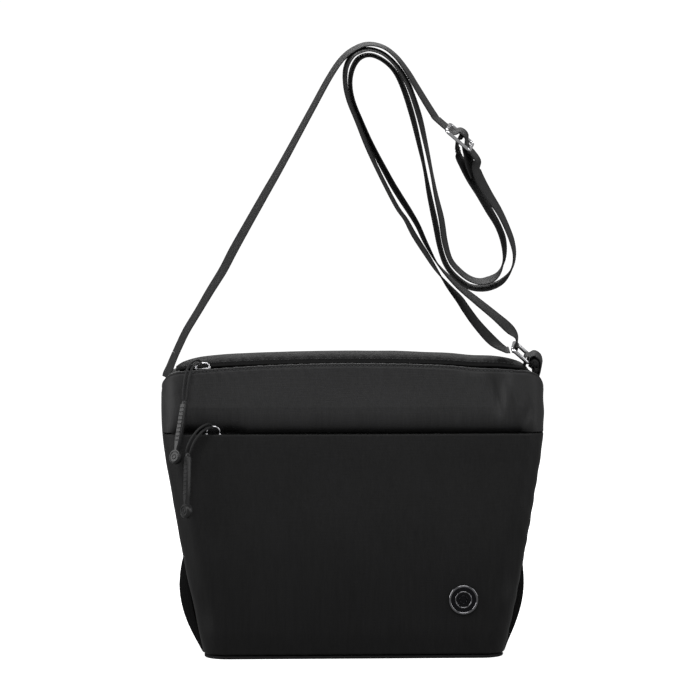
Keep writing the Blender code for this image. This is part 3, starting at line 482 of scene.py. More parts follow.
NYLON = nylon("nylon_shell", grey(0.0115), grey(0.0250), 0.52, 0.26)
NYLON_POCKET = nylon("nylon_pocket", grey(0.0048), grey(0.0112), 0.56, 0.20)
NYLON_SIDE = nylon("nylon_side", grey(0.0100), grey(0.0210), 0.58)
NYLON_TOP = nylon("nylon_top", grey(0.0026), grey(0.0064), 0.58, 0.12)
SIDE_RIB = ribbed_cloth("ribbed_side", grey(0.0016), grey(0.0062), 0.0016, (0.0, 0.6, 0.0))
BASE_CLOTH = woven("base_cloth", grey(0.006), grey(0.012), 0.8)
LINING = woven("lining_cloth", grey(0.030), grey(0.060), 0.6, 0.0001, 2200.0)
BOARD = moulded("board_plastic", grey(0.08), grey(0.11), 0.7)
WEBBING_LOOK = woven("webbing_yarn", grey(0.0045), grey(0.0180), 0.62, 0.00012, 2600.0)
THREAD = woven("thread", grey(0.030), grey(0.070), 0.6, 0.00005, 5000.0)
TAPE = woven("zip_tape", grey(0.006), grey(0.014), 0.8)
COIL = moulded("zip_coil", grey(0.008), grey(0.016), 0.35)
CORD = woven("pull_cord", grey(0.010), grey(0.030), 0.6, 0.00008, 4000.0)
RUBBER = moulded("puller_rubber", grey(0.012), grey(0.024), 0.36)
CHROME = metal("chrome", (0.80, 0.80, 0.82), 0.10)
GUNMETAL = metal("gunmetal", (0.022, 0.022, 0.025), 0.16)
STEEL = metal("polished_rim", (0.22, 0.22, 0.23), 0.16)


# --- camera, light and floor --------------------
VIEW_AZIMUTH = math.radians(-2.5)
VIEW_HEIGHT = math.radians(3.0)
VIEW_DISTANCE = 2.4
VIEW_WIDTH = 0.490       # what the picture's width spans at the bag
SENSOR_WIDTH = 36.0      # millimetres
AIM = Vector((-0.0012, 0.0, 0.2100))
SKY_LIGHT = 0.28
SKY_SEEN = 1.05          # the backdrop's brightness to the camera
FLOOR_GLOW = 0.80
FLOOR_REACH = 6.0
# name, place, aim, size and power of each soft light
SOFTBOXES = (("key", (0.15, -1.1, 1.7), (0.0, 0.0, 0.12), (1.4, 0.9), 16.0),
             ("left", (-1.5, -0.35, 0.75), (0.0, 0.0, 0.15), (0.8, 1.2), 14.0),
             ("right", (1.6, -0.55, 0.8), (0.0, 0.0, 0.15), (0.7, 1.2), 6.5),
             ("rear", (0.0, 1.3, 1.4), (0.0, 0.0, 0.2), (1.6, 0.7), 14.0))


def camera():
    data = bpy.data.cameras.new("camera")
    data.sensor_width = SENSOR_WIDTH
    data.lens = SENSOR_WIDTH * VIEW_DISTANCE / VIEW_WIDTH
    obj = linked("camera", data)
    away = Vector((math.sin(VIEW_AZIMUTH) * math.cos(VIEW_HEIGHT),
                   -math.cos(VIEW_AZIMUTH) * math.cos(VIEW_HEIGHT), math.sin(VIEW_HEIGHT)))
    obj.location = AIM + away * VIEW_DISTANCE
    obj.rotation_euler = (-away).to_track_quat("-Z", "Y").to_euler()
    bpy.context.scene.camera = obj


def softbox(name, spot, aim, size, power):
    data = bpy.data.lights.new(name, "AREA")
    data.shape = "RECTANGLE"
    data.size, data.size_y = size
    data.energy = power
    obj = linked(name, data)
    obj.location = spot
    obj.rotation_euler = (Vector(aim) - Vector(spot)).to_track_quat("-Z", "Y").to_euler()


def studio():
    world = bpy.data.worlds.new("studio")
    bpy.context.scene.world = world
    world.use_nodes = True
    nodes, links = world.node_tree.nodes, world.node_tree.links
    sky = nodes["Background"]
    sky.inputs["Color"].default_value = (1.0, 1.0, 1.0, 1.0)
    seen = nodes.new("ShaderNodeLightPath")
    share = nodes.new("ShaderNodeMapRange")
    share.inputs["To Min"].default_value = SKY_LIGHT
    share.inputs["To Max"].default_value = SKY_SEEN
    links.new(seen.outputs["Is Camera Ray"], share.inputs["Value"])
    links.new(share.outputs["Result"], sky.inputs["Strength"])
    for box in SOFTBOXES:
        softbox(*box)
    corners = [(x * FLOOR_REACH, y * FLOOR_REACH, 0)
               for x, y in ((-1, -1), (1, -1), (1, 1), (-1, 1))]
    floor = mesh_object("floor", corners, [(0, 1, 2, 3)], FLOOR)
    floor.visible_diffuse = False
    floor.visible_glossy = False
    bpy.context.scene.view_settings.view_transform = "Standard"


def floor_look():
    look = Look("floor", (0.92, 0.92, 0.92), 0.9)
    cloud = look.noise((3.0, 3.0, 3.0), 2.0)
    look.colours(cloud, (0.91, 0.91, 0.91), (0.93, 0.93, 0.93))
    look.set("Emission Color", (1.0, 1.0, 1.0, 1.0))
    look.set("Emission Strength", FLOOR_GLOW)
    return look.mat


FLOOR = floor_look()


# --- the sewn body --------------------
def front_face(col, z):
    """Points of the front: col 0..1 is the left corner, 1..2 the flat, 2..3 the right corner."""
    w, f, r = half_width(z), front(z), CORNER_RADIUS
    a = math.pi + math.pi / 2 * (np.clip(col, 0, 1) + np.clip(col - 2, 0, 1))
    middle = (w - r) * (2 * np.clip(col - 1, 0, 1) - 1)
    x = middle + r * np.cos(a)
    y = -f + r + r * np.sin(a)
    return np.stack([x, y, np.broadcast_to(z, x.shape)], axis=-1)


def front_columns(flats=210):
    """Column positions, close together round the corners."""
    rim = np.linspace(0.0, 0.09, 6, endpoint=False)
    left = np.concatenate([rim, np.linspace(0.09, 1.0, 18, endpoint=False)])
    return np.concatenate([left, np.linspace(1.0, 2.0, flats), 3.0 - left[::-1]])


def pushed(grid, amount):
    """Moves the cloth out along its normals."""
    return grid + normals_of(grid) * amount[..., None]


def slack(grid, size, seed, across=9.0, up=7.0):
    """Soft hand-sewn unevenness of a panel, in metres, fading to nothing at its rim."""
    stretched = grid * np.array([across, across, up])
    wide = rough(stretched, 1.0, seed)
    fine = rough(stretched, 3.1, seed + 0.5)
    rim = np.clip(rim_distance(grid, ("low", "high", "left", "right")) / 0.02, 0.0, 1.0)
    return size * (0.75 * wide + 0.25 * fine) * rim


def pucker(grid, sides, pitch, size, reach, seed):
    """Small gathers that run in from a stitched edge."""
    near = np.exp(-rim_distance(grid, sides) / reach)
    phase = grid[..., 0] + 0.6 * grid[..., 2]
    drift = rough(grid * np.array([1.0, 1.0, 0.35]), 22.0, seed)
    strong = 0.5 + 0.5 * rough(grid * np.array([1.0, 1.0, 0.2]), 31.0, seed + 3)
    return size * near * strong * np.sin(2 * math.pi * phase / pitch + 5.0 * drift)


POCKET_LIP = 0.0016      # how far the pocket's fold stands above its mouth
POCKET_CLOTH = 0.0017
# side, share of the half width, height, reach and depth of the dents near the side seams
POCKET_DENTS = ((1, 0.93, 0.056, 0.017, -0.0016), (1, 0.93, 0.040, 0.010, 0.0012),
                (1, 0.93, 0.078, 0.012, -0.0011), (-1, 0.94, 0.032, 0.012, -0.0014))


def pocket_panel():
    cols = front_columns()
    z = ends_close(BASE_Z, POCKET_FOLD_Z + POCKET_LIP, 130)
    grid = front_face(cols[None, :], z[:, None])
    x, high = grid[..., 0], grid[..., 2]
    amount = slack(grid, 0.0011, 1.0)
    amount += pucker(grid, ("left", "right"), 0.011, 0.00035, 0.010, 2.0)
    amount += pucker(grid, ("low",), 0.013, 0.00030, 0.008, 3.0)
    flare = np.abs(x) / half_width(high)
    for side, share, height, reach, depth in POCKET_DENTS:
        amount += depth * bump(flare, share, 0.05) * bump(high, height, reach) * (side * x > 0)
    amount += 0.0016 * bump(high, 0.070, 0.045) * (1 - np.clip(flare, 0, 1) ** 4)
    grid = pushed(grid, amount)
    grid = turned_under(grid, ("left", "right", "low"))
    grid = turned_under(grid, ("high",), 0.0012)
    cloth("pocket_front", grid, NYLON_POCKET, "front_pocket_panel", thickness=POCKET_CLOTH)


def top_edge(x):
    """Height of the upper panel's top edge, with its sloping corners and one soft dip."""
    corner_x, corner_z = shoulder(np.linspace(1.0, 0.0, 80))
    corner = np.interp(np.abs(x), corner_x, corner_z)
    edge = np.where(np.abs(x) < ZIP_HALF, TOP_MID_Z - arch(x), corner)
    return edge - 0.0007 * bump(x, 0.0845, 0.011)


SEAM_INSET = 0.0021      # the stitch line along the upper panel's top edge
PARKED_X = -0.072        # the recess is full from here to the side, where the pull hangs
# depth, x, slant, the height it turns about, width, height and reach of the gathered creases
UPPER_CREASES = ((-0.0030, 0.0985, -0.16, 0.187, 0.0046, 0.180, 0.013),
                 (0.0020, 0.1085, 0.0, 0.183, 0.0050, 0.183, 0.013),
                 (-0.0016, 0.1190, 0.30, 0.165, 0.0030, 0.166, 0.009),
                 (-0.0012, -0.1175, -0.30, 0.178, 0.0032, 0.178, 0.009),
                 (-0.0006, 0.0845, 0.0, 0.199, 0.012, 0.199, 0.004))


def upper_panel():
    cols = front_columns()
    share = ends_close(0.0, 1.0, 64, 0.05, 6)[:, None]
    low = RECESS[0][0]
    x_top = front_face(cols, np.full(cols.shape, 0.19))[:, 0]
    for _ in range(4):
        high = top_edge(x_top)
        x_top = front_face(cols, high)[:, 0]
    z = low + share * (high[None, :] - low)
    grid = front_face(cols[None, :], z)
    fade = np.clip((half_width(z) - np.abs(grid[..., 0])) / (CORNER_RADIUS + 0.001), 0, 1) ** 2
    parked = np.clip((PARKED_X - grid[..., 0]) / 0.012, 0.0, 1.0)
    grid[..., 1] += (0.55 + 0.45 * parked) * recess(z) * fade
    x, high_z = grid[..., 0], grid[..., 2]
    amount = slack(grid, 0.0009, 5.0)
    amount += pucker(grid, ("high",), 0.0075, 0.00028, 0.0045, 6.0)
    amount += pucker(grid, ("left", "right"), 0.010, 0.00035, 0.009, 7.0)
    for depth, at, slant, pivot, width, height, reach in UPPER_CREASES:
        ridge = bump(x, at + slant * (high_z - pivot), width)
        amount += depth * ridge * bump(high_z, height, reach)
    grid = pushed(grid, amount)
    seam = rim_distance(grid, ("high",))
    grid = pushed(grid, -0.00035 * bump(seam, SEAM_INSET, 0.0006))
    grid = turned_under(grid, ("left", "right"))
    grid = turned_under(grid, ("high",), 0.0013)
    cloth("upper_front", grid, NYLON, "front_upper_panel")
    row = int(np.argmin(np.abs(seam[:, seam.shape[1] // 2] - SEAM_INSET)))
    inside = np.flatnonzero(np.abs(grid[row, :, 0]) < ZIP_HALF)
    line = np.s_[row, inside[0]:inside[-1]]
    spots, outs = evenly(grid[line], normals_of(grid)[line])
    stitches("top_edge_stitches", spots, outs, "bag", 0.0023, 0.00036)


def back_panel():
    cols = front_columns(150)
    z = ends_close(BASE_Z, BACK_TOP_Z, 120)
    grid = front_face(cols[None, :], z[:, None])
    y = back(z)[:, None] - (grid[..., 1] + front(z)[:, None])
    grid = np.stack([-grid[..., 0], y, grid[..., 2]], axis=-1)
    amount = slack(grid, 0.0011, 9.0)
    amount += pucker(grid, ("left", "right", "low"), 0.011, 0.0003, 0.009, 10.0)
    amount += pucker(grid, ("high",), 0.009, 0.0003, 0.006, 11.0)
    grid = turned_under(pushed(grid, amount), ("left", "right", "low", "high"))
    cloth("back_cloth", grid, NYLON_SIDE, "back_panel")


def facing_out(grid, side):
    """Turns a left piece's columns round, so that its normals face out."""
    return grid[:, ::-1] if side < 0 else grid


def side_panels():
    inner = CORNER_RADIUS - FABRIC - SEAM_GAP
    for side, name in ((-1, "left"), (1, "right")):
        lines = []
        for z in ends_close(EAR_TOP_Z + SEAM_GAP, BACK_TOP_Z, 60):
            lines.append((half_width(z), z, -front(z) + CORNER_RADIUS + SEAM_GAP,
                          back(z) - CORNER_RADIUS - SEAM_GAP))
        for share in np.linspace(0.12, 0.84, 22):
            x, z = shoulder(share)
            x -= (FABRIC + SEAM_GAP) * (1.0 - share)
            z -= 0.0005
            along = min(max(x - (half_width(z) - CORNER_RADIUS), 0.0), inner)
            reach = CORNER_RADIUS + SEAM_GAP - math.sqrt(inner**2 - along**2)
            lines.append((x, z, -front(z) + reach, back(z) - reach))
        share = ends_close(0.0, 1.0, 34, 0.035, 5)
        grid = facing_out(np.array([[(side * x, low + (high - low) * s, z) for s in share]
                                    for x, z, low, high in lines]), side)
        amount = slack(grid, 0.0009, 13.0 + side, 14.0)
        middle = bump(np.broadcast_to(share, grid.shape[:2]), 0.5, 0.16)
        amount -= 0.0016 * middle * bump(grid[..., 2], 0.125, 0.042)
        grid = turned_under(pushed(grid, amount), ("left", "right", "low"), 0.0015)
        cloth(f"{name}_side", grid, NYLON_SIDE, f"{name}_side_gusset")


def lower_gussets():
    for side, name in ((-1, "left"), (1, "right")):
        rows = []
        for z in ends_close(BASE_Z, EAR_TOP_Z, 40):
            swell = EAR_BULGE * max(math.sin(math.pi * z / EAR_TOP_Z), 0.0) ** 0.8
            low = -front(z) + CORNER_RADIUS + SEAM_GAP
            high = back(z) - CORNER_RADIUS - SEAM_GAP
            y = ends_close(low, high, 56)
            share = np.clip(np.sin(math.pi * (y - low) / (high - low)), 0.0, 1.0)
            x = half_width(z) + swell * share**0.7
            rows.append(np.stack([side * x, y, np.full(y.shape, z)], axis=-1))
        grid = facing_out(np.array(rows), side)
        amount = slack(grid, 0.0008, 17.0 + side, 20.0, 20.0)
        amount += 0.00018 * np.sin(2 * math.pi * (grid[..., 1] + grid[..., 2]) / 0.0034)
        grid = turned_under(pushed(grid, amount), ("left", "right", "low", "high"), 0.0012)
        cloth(f"{name}_lower_gusset", grid, SIDE_RIB, f"{name}_corner_gusset")


def rounded_loop(w, f, b, r, count=12):
    """The outline of a level cut through the body: half width, front, back, corner radius."""
    loop = []
    for cx, cy, start in ((-w + r, -f + r, 180), (w - r, -f + r, 270),
                          (w - r, b - r, 0), (-w + r, b - r, 90)):
        for k in range(count):
            a = math.radians(start + 90 * k / (count - 1))
            loop.append((cx + r * math.cos(a), cy + r * math.sin(a)))
    return loop


BASE_PROFILE = ((0.0016, 0.0), (0.0006, 0.0003), (0.0001, 0.0009), (0.0001, 0.0015),
                (0.0006, 0.0020), (0.0014, 0.0022))     # (inset, height) of the base's rim


def base():
    loops = []
    for inset, z in BASE_PROFILE:
        loop = rounded_loop(half_width(0) - inset, front(0) - inset, back(0) - inset,
                            CORNER_RADIUS - inset)
        loops.append([(x, y, z) for x, y in loop])
    count = len(loops[0])
    faces = grid_faces(len(loops), count, closed=True).tolist()
    faces.append(list(reversed(range(count))))
    faces.append([(len(loops) - 1) * count + k for k in range(count)])
    obj = mesh_object("base_cloth", np.array(loops).reshape(-1, 3), faces, BASE_CLOTH)
    place(obj, "bag", ("bottom_panel",))


def catmull(points, per):
    """Points on a Catmull-Rom curve, the same number for each stretch."""
    known = np.array(points, float)
    known = np.vstack([2 * known[0] - known[1], known, 2 * known[-1] - known[-2]])
    t = (np.arange(per) / per)[:, None]
    fine = []
    for a, b, c, d in zip(known, known[1:], known[2:], known[3:]):
        fine.append(0.5 * (2 * b + (c - a) * t + (2 * a - 5 * b + 4 * c - d) * t**2
                           + (3 * b - a - 3 * c + d) * t**3))
    return np.vstack([*fine, known[-2]])


# (y, height above the panel's edge) from the back, over the top and down to the zip
ROLL_PROFILE = ((0.0353, -0.0180), (0.0335, -0.0075), (0.0290, -0.0005), (0.0215, 0.0040),
                (0.0125, 0.0062), (0.0035, 0.0066), (-0.0040, 0.0050), (-0.0095, 0.0020),
                (-0.0122, -0.0012))
ROLL_HALF = ZIP_HALF + 0.0090
ROLL_LOWEST = 0.1800


def rolled_top():
    """The strip that rolls over the top from the back to the zip."""
    profile = catmull(ROLL_PROFILE, 8)
    x = ends_close(-ROLL_HALF, ROLL_HALF, 180)
    share = np.abs(x / ROLL_HALF)
    fade = 1 - 0.30 * share**4 - 0.62 * share**18
    rise = profile[None, :, 1] * np.where(profile[None, :, 1] > 0, fade[:, None], 1.0)
    lift = 0.4 * arch(np.minimum(np.abs(x), ZIP_HALF)) * (1 - share**10) + 0.0004 * share**10
    z = np.maximum((top_edge(x) + lift)[:, None] + rise, ROLL_LOWEST)
    grid = np.stack([np.broadcast_to(x[:, None], z.shape),
                     np.broadcast_to(profile[None, :, 0], z.shape), z], axis=-1)
    amount = slack(grid, 0.0009, 21.0, 16.0)
    gathers = np.sin(2 * math.pi * grid[..., 0] / 0.0083 + 4 * rough(grid, 25.0, 22.0))
    amount += 0.00022 * gathers * bump(grid[..., 1], -0.006, 0.004)
    grid = turned_under(pushed(grid, amount), ("low", "high", "left", "right"), 0.0012)
    cloth("rolled_top", grid, NYLON_TOP, "top_facing")
    line = np.s_[:, -9]
    spots, outs = evenly(grid[line], normals_of(grid)[line], 0.002)
    stitches("rolled_top_stitches", spots, outs, "bag")


# --- webbing --------------------
RIBBON_STEP = 0.00042    # between two cross sections, a quarter of a rib
RIB_DEPTH = 0.00026
SELVEDGE_DEPTH = 0.00020
TACK_PITCH = 0.0011
TACK_SHARE = 0.8         # of the webbing's width
# name, (x, z) in millimetres, radius and half length of the rolls inside the ring's tab
TAB_CORES = (("tab_roll_upper", (128.9, 201.3), 0.0045, 0.0103),
             ("tab_roll_lower", (129.9, 196.6), 0.0032, 0.0100))
# (x, z) in millimetres of the two webbing folds that show between them
TAB_FOLDS = (((124.6, 199.4), (127.6, 202.6), (130.2, 202.8), (131.2, 200.4), (130.8, 196.6),
              (129.4, 192.6)),
             ((125.0, 197.6), (127.2, 200.0), (128.7, 199.6), (128.9, 197.0), (127.6, 193.6)))
# Where webbing passes from the bag, below, to the swinging strap, above.
TAB_BEND = ((0.1315, 0.001, 0.1935), (0.1262, 0.001, 0.2015))
SEAM_BEND = ((-0.1290, 0.002, 0.1945), (-0.1236, 0.002, 0.2068))


def leaned(travel, lean):
    """The width direction of webbing that is turned by lean degrees about its travel."""
    right = Vector((travel[2], 0.0, -travel[0])).normalized()
    angle = math.radians(lean)
    return Vector((0, -1, 0)) * math.cos(angle) + right * math.sin(angle)


def ribbon(name, points, body, nodes):
    """Ribbed webbing along (x, y, z, lean) points in millimetres; a lean may be a direction."""
    spots = [Vector(p[:3]) for p in points]
    rows = []
    for k, p in enumerate(points):
        travel = (spots[min(k + 1, len(spots) - 1)] - spots[max(k - 1, 0)]).normalized()
        way = p[3] if isinstance(p[3], Vector) else leaned(travel, p[3])
        rows.append((*(spots[k] * MM), *way))
    fine = catmull(rows, 24)
    run = run_along(fine[:, :3])
    wanted = np.linspace(0.0, run[-1], int(run[-1] / RIBBON_STEP) + 2)
    path = sampled(fine, run, wanted)
    width, thick = frames_along(path[:, :3], path[:, 3:])
    a = np.sin(np.linspace(-1.0, 1.0, 25) * math.pi / 2)
    half = WEBBING / 2 * np.sqrt(1 - 0.97 * np.abs(a) ** 10)
    ring_a = np.concatenate([a, a[::-1]])
    ring_h = np.concatenate([half, -half[::-1]])
    side = np.sign(ring_h)
    phase = wanted[:, None] / RIB_PITCH + ring_a[None] * WEBBING_WIDTH / 2 / (RIB_PITCH * 1.25)
    rib = 0.5 + 0.5 * np.cos(2 * math.pi * phase)
    edge = np.clip((1 - np.abs(ring_a[None])) / 0.12, 0.0, 1.0)
    height = ring_h[None] - side[None] * (1 - rib) * RIB_DEPTH * edge
    selvedge = SELVEDGE_DEPTH * np.cos(2 * math.pi * wanted / RIB_PITCH)[:, None] * (1 - edge)
    reach = ring_a[None] * (WEBBING_WIDTH / 2 + selvedge)
    points = (path[:, None, :3] + width[:, None] * reach[..., None]
              + thick[:, None] * height[..., None])
    faces = capped(len(path), len(ring_a))
    obj = mesh_object(name, points.reshape(-1, 3), faces, WEBBING_LOOK, smooth=70)
    recalc(obj)
    place(obj, body, nodes)
    return path[:, :3], width, thick


def bar_tack(name, course, where, body, rows=5, side=1):
    """Rows of stitches across webbing, at a distance along it."""
    path, width, thick = course
    run = run_along(path)
    spots, outs = [], []
    for k in range(rows):
        at = int(np.searchsorted(run, where + k * TACK_PITCH))
        across = np.linspace(-1, 1, 9) * (1 if k % 2 else -1) * TACK_SHARE * WEBBING_WIDTH / 2
        for b in across:
            spots.append(path[at] + width[at] * b + thick[at] * side * WEBBING * 0.52)
            outs.append(thick[at] * side)
    stitches(name, np.array(spots), np.array(outs), body, 0.0022, 0.00026)


RING_TAB_BAR = Vector((0.1243, 0.001, 0.2033))
RING_STRAP_BAR = Vector((0.1138, 0.001, 0.2125))
RING_TRAVEL = (RING_TAB_BAR - RING_STRAP_BAR).normalized()
RING_WAY = leaned(RING_TRAVEL, 12.0)
RING_WIDTH = 0.0255
RING_ROD = 0.0014
GLIDE_CENTRE = Vector((0.0746, -0.012, 0.3585))
GLIDE_TRAVEL = Vector((0.76, 0.0, -0.65)).normalized()
GLIDE_WAY = leaned(GLIDE_TRAVEL, 15.0)
GLIDE_BAR_SPACING = 0.0105
GLIDE_WIDTH = 0.0260
GLIDE_ROD = 0.0012


def round_bar(centre, radius, start, stop, count, way):
    """Webbing points round a bar, from one angle to another, in degrees."""
    points = []
    for k in range(count):
        t = math.radians(start + (stop - start) * k / (count - 1))
        spot = centre / MM + Vector((math.cos(t), 0, math.sin(t))) * radius
        points.append((*spot, way))
    return points


# The webbing's course. (along, up) from the adjuster's middle, in millimetres: over its bars,
# and back beneath it.
WAVES = ((-6.5, 0.0), (-3, 3.6), (0, 4.4), (3, 3.6), (6.5, 0.0), (10.5, -2.3), (13.5, -2.2))
RETURN = ((8.0, -9.6), (3.2, -6.4), (0.6, -3.3))
# (x, y, z) in millimetres and a lean. The cut end, turned back between the two layers:
ADJUSTER_FOLD = ((77.9, -12.6, 353.8, 14), (78.7, -13, 350.4, 16), (80.0, -13.6, 346.4, 19),
                 (81.0, -14.2, 342.4, 22), (82.2, -14.6, 338.0, 23), (85.2, -15, 331.0, 23))

# from the left seam over the peak to the adjuster,
LONG_RUN = ((-123.1, 2, 207.9, 13), (-120.3, 2, 214, 13), (-115.4, 2, 224, 13),
            (-106.9, 2, 238, 13), (-98.6, 2, 252, 14.5), (-89.9, 2, 266, 15.5),
            (-82.6, 2, 280, 16), (-72.8, 2, 297.5, 15), (-60.6, 2, 319, 14),
            (-48.9, 1.5, 339.5, 12.5), (-28.4, 1, 377, 10.5), (-15.8, 0, 400, 10),
            (-7.2, 0, 412.6, 10), (1, 0, 419.6, 10), (11, -1, 423.4, 9.5), (21.5, -2, 421.6, 9.5),
            (30.3, -3, 415.2, 11), (38.2, -4, 405, 13), (44.6, -6, 394.2, 14.5),
            (51.6, -8, 382.4, 15.5), (56.6, -9.6, 374.4, 15.5), (59.4, -10.6, 370.9, 15))
# from the adjuster round the loop, up to the peak and down to the ring,
OUTER_RUN = ((86.9, -12.8, 342.6, 17), (86.2, -13.8, 337.0, 21), (88.8, -15, 328.9, 23),
             (94.4, -16.4, 318.6, 21), (101.2, -17.6, 308, 17), (106.4, -19, 297.4, 15),
             (110.4, -20.5, 286.6, 14), (111.9, -22, 276.5, 10), (109.7, -24, 267, 5),
             (103.6, -25, 259.4, -5), (96, -26, 255.4, -10), (88, -26, 254.0, -10.5),
             (79.6, -26, 255.6, -11), (70.4, -25.5, 262.4, -11.5), (64.0, -25, 271, -12),
             (60.0, -24, 283, -12.5), (57.0, -23, 299, -14), (52.9, -21, 319, -12),
             (49.8, -19.4, 336, -8.5), (46.4, -17.8, 352, -11), (41.2, -15, 374, -13.5),
             (35.2, -12, 393, -13), (29.2, -10, 404.6, -11), (21.4, -9, 412.0, -10),
             (12.5, -8, 415.6, -9.5), (4.9, -7.5, 413.4, -9), (0.2, -7, 406.2, -7),
             (-1.4, -6.5, 396, -5), (0.6, -6, 384, -4.5), (6.6, -5, 369, -5), (14.2, -4, 352, -7),
             (26.3, -2, 329.5, -8.5), (32.8, -1, 318.6, -9), (39.9, 0, 307.6, -8),
             (46.4, 2, 296.8, -6), (52.4, 3, 284, -4), (60.8, 4, 269.5, 3), (73.0, 4, 256.4, 11),
             (86.8, 3, 245, 15.5), (100.3, 2, 234, 18), (110.4, 1.5, 225, 21),
             (115.6, 1, 219.2, RING_WAY))
# from the ring back over the peak and round the loop to the adjuster,
INNER_RUN = ((110.7, 1, 209.6, RING_WAY), (107.3, 1, 210.4, RING_WAY), (98.4, 1.5, 216.6, 21),
             (88, 2.5, 228, 20), (80.4, 3, 238.4, 19), (75.6, 3, 245.4, 17), (67.2, 3.4, 255.4, 9),
             (59.8, 3.5, 265.4, -2), (52.4, 3.2, 277, -6.5), (43.9, 2, 290.2, -7),
             (38.0, 1, 301, -5), (31.4, 0, 310.4, -4.5), (21.0, -2, 330, -4),
             (11.2, -4, 350.6, -4.5), (3.6, -5.5, 369.2, -4), (-2.4, -6, 384, -4),
             (-4.8, -6.5, 395.4, -5), (-4.4, -7, 406.4, -7), (-0.6, -7.5, 414.4, -9),
             (5, -8, 418.2, -9.5), (12.5, -8, 419.6, -9.5), (21.8, -9, 416.4, -10),
             (30.4, -10, 408.6, -11), (37, -12, 398.4, -13), (41.2, -14, 388.6, -13),
             (46.4, -16, 372.2, -13.5), (50.8, -18, 352.6, -11), (54.6, -20, 333.6, -8.5),
             (57.6, -21.6, 318, -11), (61.2, -22.5, 302, -14), (63.6, -23.5, 286, -14),
             (67.4, -24.5, 273.6, -12), (74, -25.3, 265.6, -11.5), (81.5, -26, 260.3, -11),
             (89.0, -26, 258.7, -10.5), (96.2, -25.5, 260.9, -10), (102.2, -24, 267, 2),
             (105.0, -22, 276.4, 11), (104.2, -20.5, 287.6, 16), (100.6, -19, 297.6, 16),
             (94.7, -17.6, 308, 18), (88.7, -16.4, 318.6, 19), (82.7, -15, 329.6, 24),
             (77.8, -14.2, 339.6, 25))
# and the end sewn into the left seam.
SEWN_RUN = ((-129.9, 2, 191.0, 15), (-129.3, 2, 193.4, 15), (-128.3, 2, 195.6, 14.5),
            (-127.0, 2, 198.5, 14), (-125.4, 2, 202.5, 13.5), (-123.2, 2, 207.7, 13))
# (x, z) of the tab that holds the ring, before and after it turns round the ring's bar
TAB_START = ((122.3, 199.2), (121.5, 200.6))
TAB_END = ((128.5, 207.2), (131.8, 205.2), (133.2, 201.6), (133.0, 198.0), (132.2, 194.4),
           (130.9, 190.6))
TAB_Y = 1.0


def by_adjuster(along, up):
    """A point of the webbing near the adjuster: millimetres along the slider and above it."""
    over = Vector((-GLIDE_TRAVEL.z, 0, GLIDE_TRAVEL.x))
    return (*(GLIDE_CENTRE / MM + GLIDE_TRAVEL * along + over * up), GLIDE_WAY)


def adjuster_core():
    """The turned webbing end that fills the bend over the adjuster's middle bar."""
    middle = Vector(by_adjuster(0.2, 1.9)[:3])
    ends = [(middle + GLIDE_WAY * t) * MM for t in (-8.5, -7.5, 7.5, 8.5)]
    obj = tube("strap_adjuster_core", ends, [0.0004, 0.0017, 0.0017, 0.0004], WEBBING_LOOK, 20)
    place(obj, "strap", ("strap_adjuster_bend",))


def strap():
    """One webbing: seam, peak, adjuster, round the loop, through the ring and back."""
    weave = [by_adjuster(*spot) for spot in WAVES]
    ring_turn = round_bar(RING_STRAP_BAR, 2.55, 30, -120, 7, RING_WAY)
    ribbon("strap_webbing", [*LONG_RUN, *weave, *OUTER_RUN, *ring_turn], "strap",
           ("strap_long_run", "strap_adjuster_bend", "strap_outer_layer"))
    ribbon("strap_turned_end", ADJUSTER_FOLD, "strap", ("strap_inner_layer",))
    adjuster_core()
    back_run = [*INNER_RUN, *(by_adjuster(*spot) for spot in RETURN)]
    course = ribbon("strap_return", back_run[::-1], "strap", ("strap_inner_layer",))
    bar_tack("strap_bar_tack", course, 0.0045, "strap", side=-1)
    bar_tack("strap_bar_tack_back", course, 0.0045, "strap", side=1)
    ribbon("strap_seam_end", SEWN_RUN, SEAM_BEND, ("strap_sewn_end",))
    start, end = ([(x, TAB_Y, z, RING_WAY) for x, z in way] for way in (TAB_START, TAB_END))
    tab = [*start, *round_bar(RING_TAB_BAR, 3.0, 205, 75, 6, RING_WAY), *end]
    course = ribbon("ring_tab_webbing", tab, TAB_BEND, ("ring_tab",))
    bar_tack("ring_tab_tack", course, 0.0195, TAB_BEND, rows=3)
    share = np.linspace(-1, 1, 15)
    for name, (x, z), radius, span in TAB_CORES:
        middle = Vector((x, TAB_Y, z)) * MM
        ends = [middle + RING_WAY * (t * span) for t in share]
        plump = [radius * max(1 - abs(t) ** 5, 0.02) ** 0.5 for t in share]
        place(tube(name, ends, plump, WEBBING_LOOK, 24), TAB_BEND, ("ring_tab",))
    for number, fold in enumerate(TAB_FOLDS):
        ribbon(f"ring_tab_fold_{number}", [(x, TAB_Y, z, RING_WAY) for x, z in fold], TAB_BEND,
               ("ring_tab",))


# --- metal fittings --------------------
def oriented(centre, length_way, width_way):
    """The matrix that lays local x and y along the two directions."""
    turn = Matrix((length_way, width_way, length_way.cross(width_way).normalized()))
    return Matrix.Translation(centre) @ turn.transposed().to_4x4()


FRAME_CORNER = 0.0025    # of a frame bent from wire


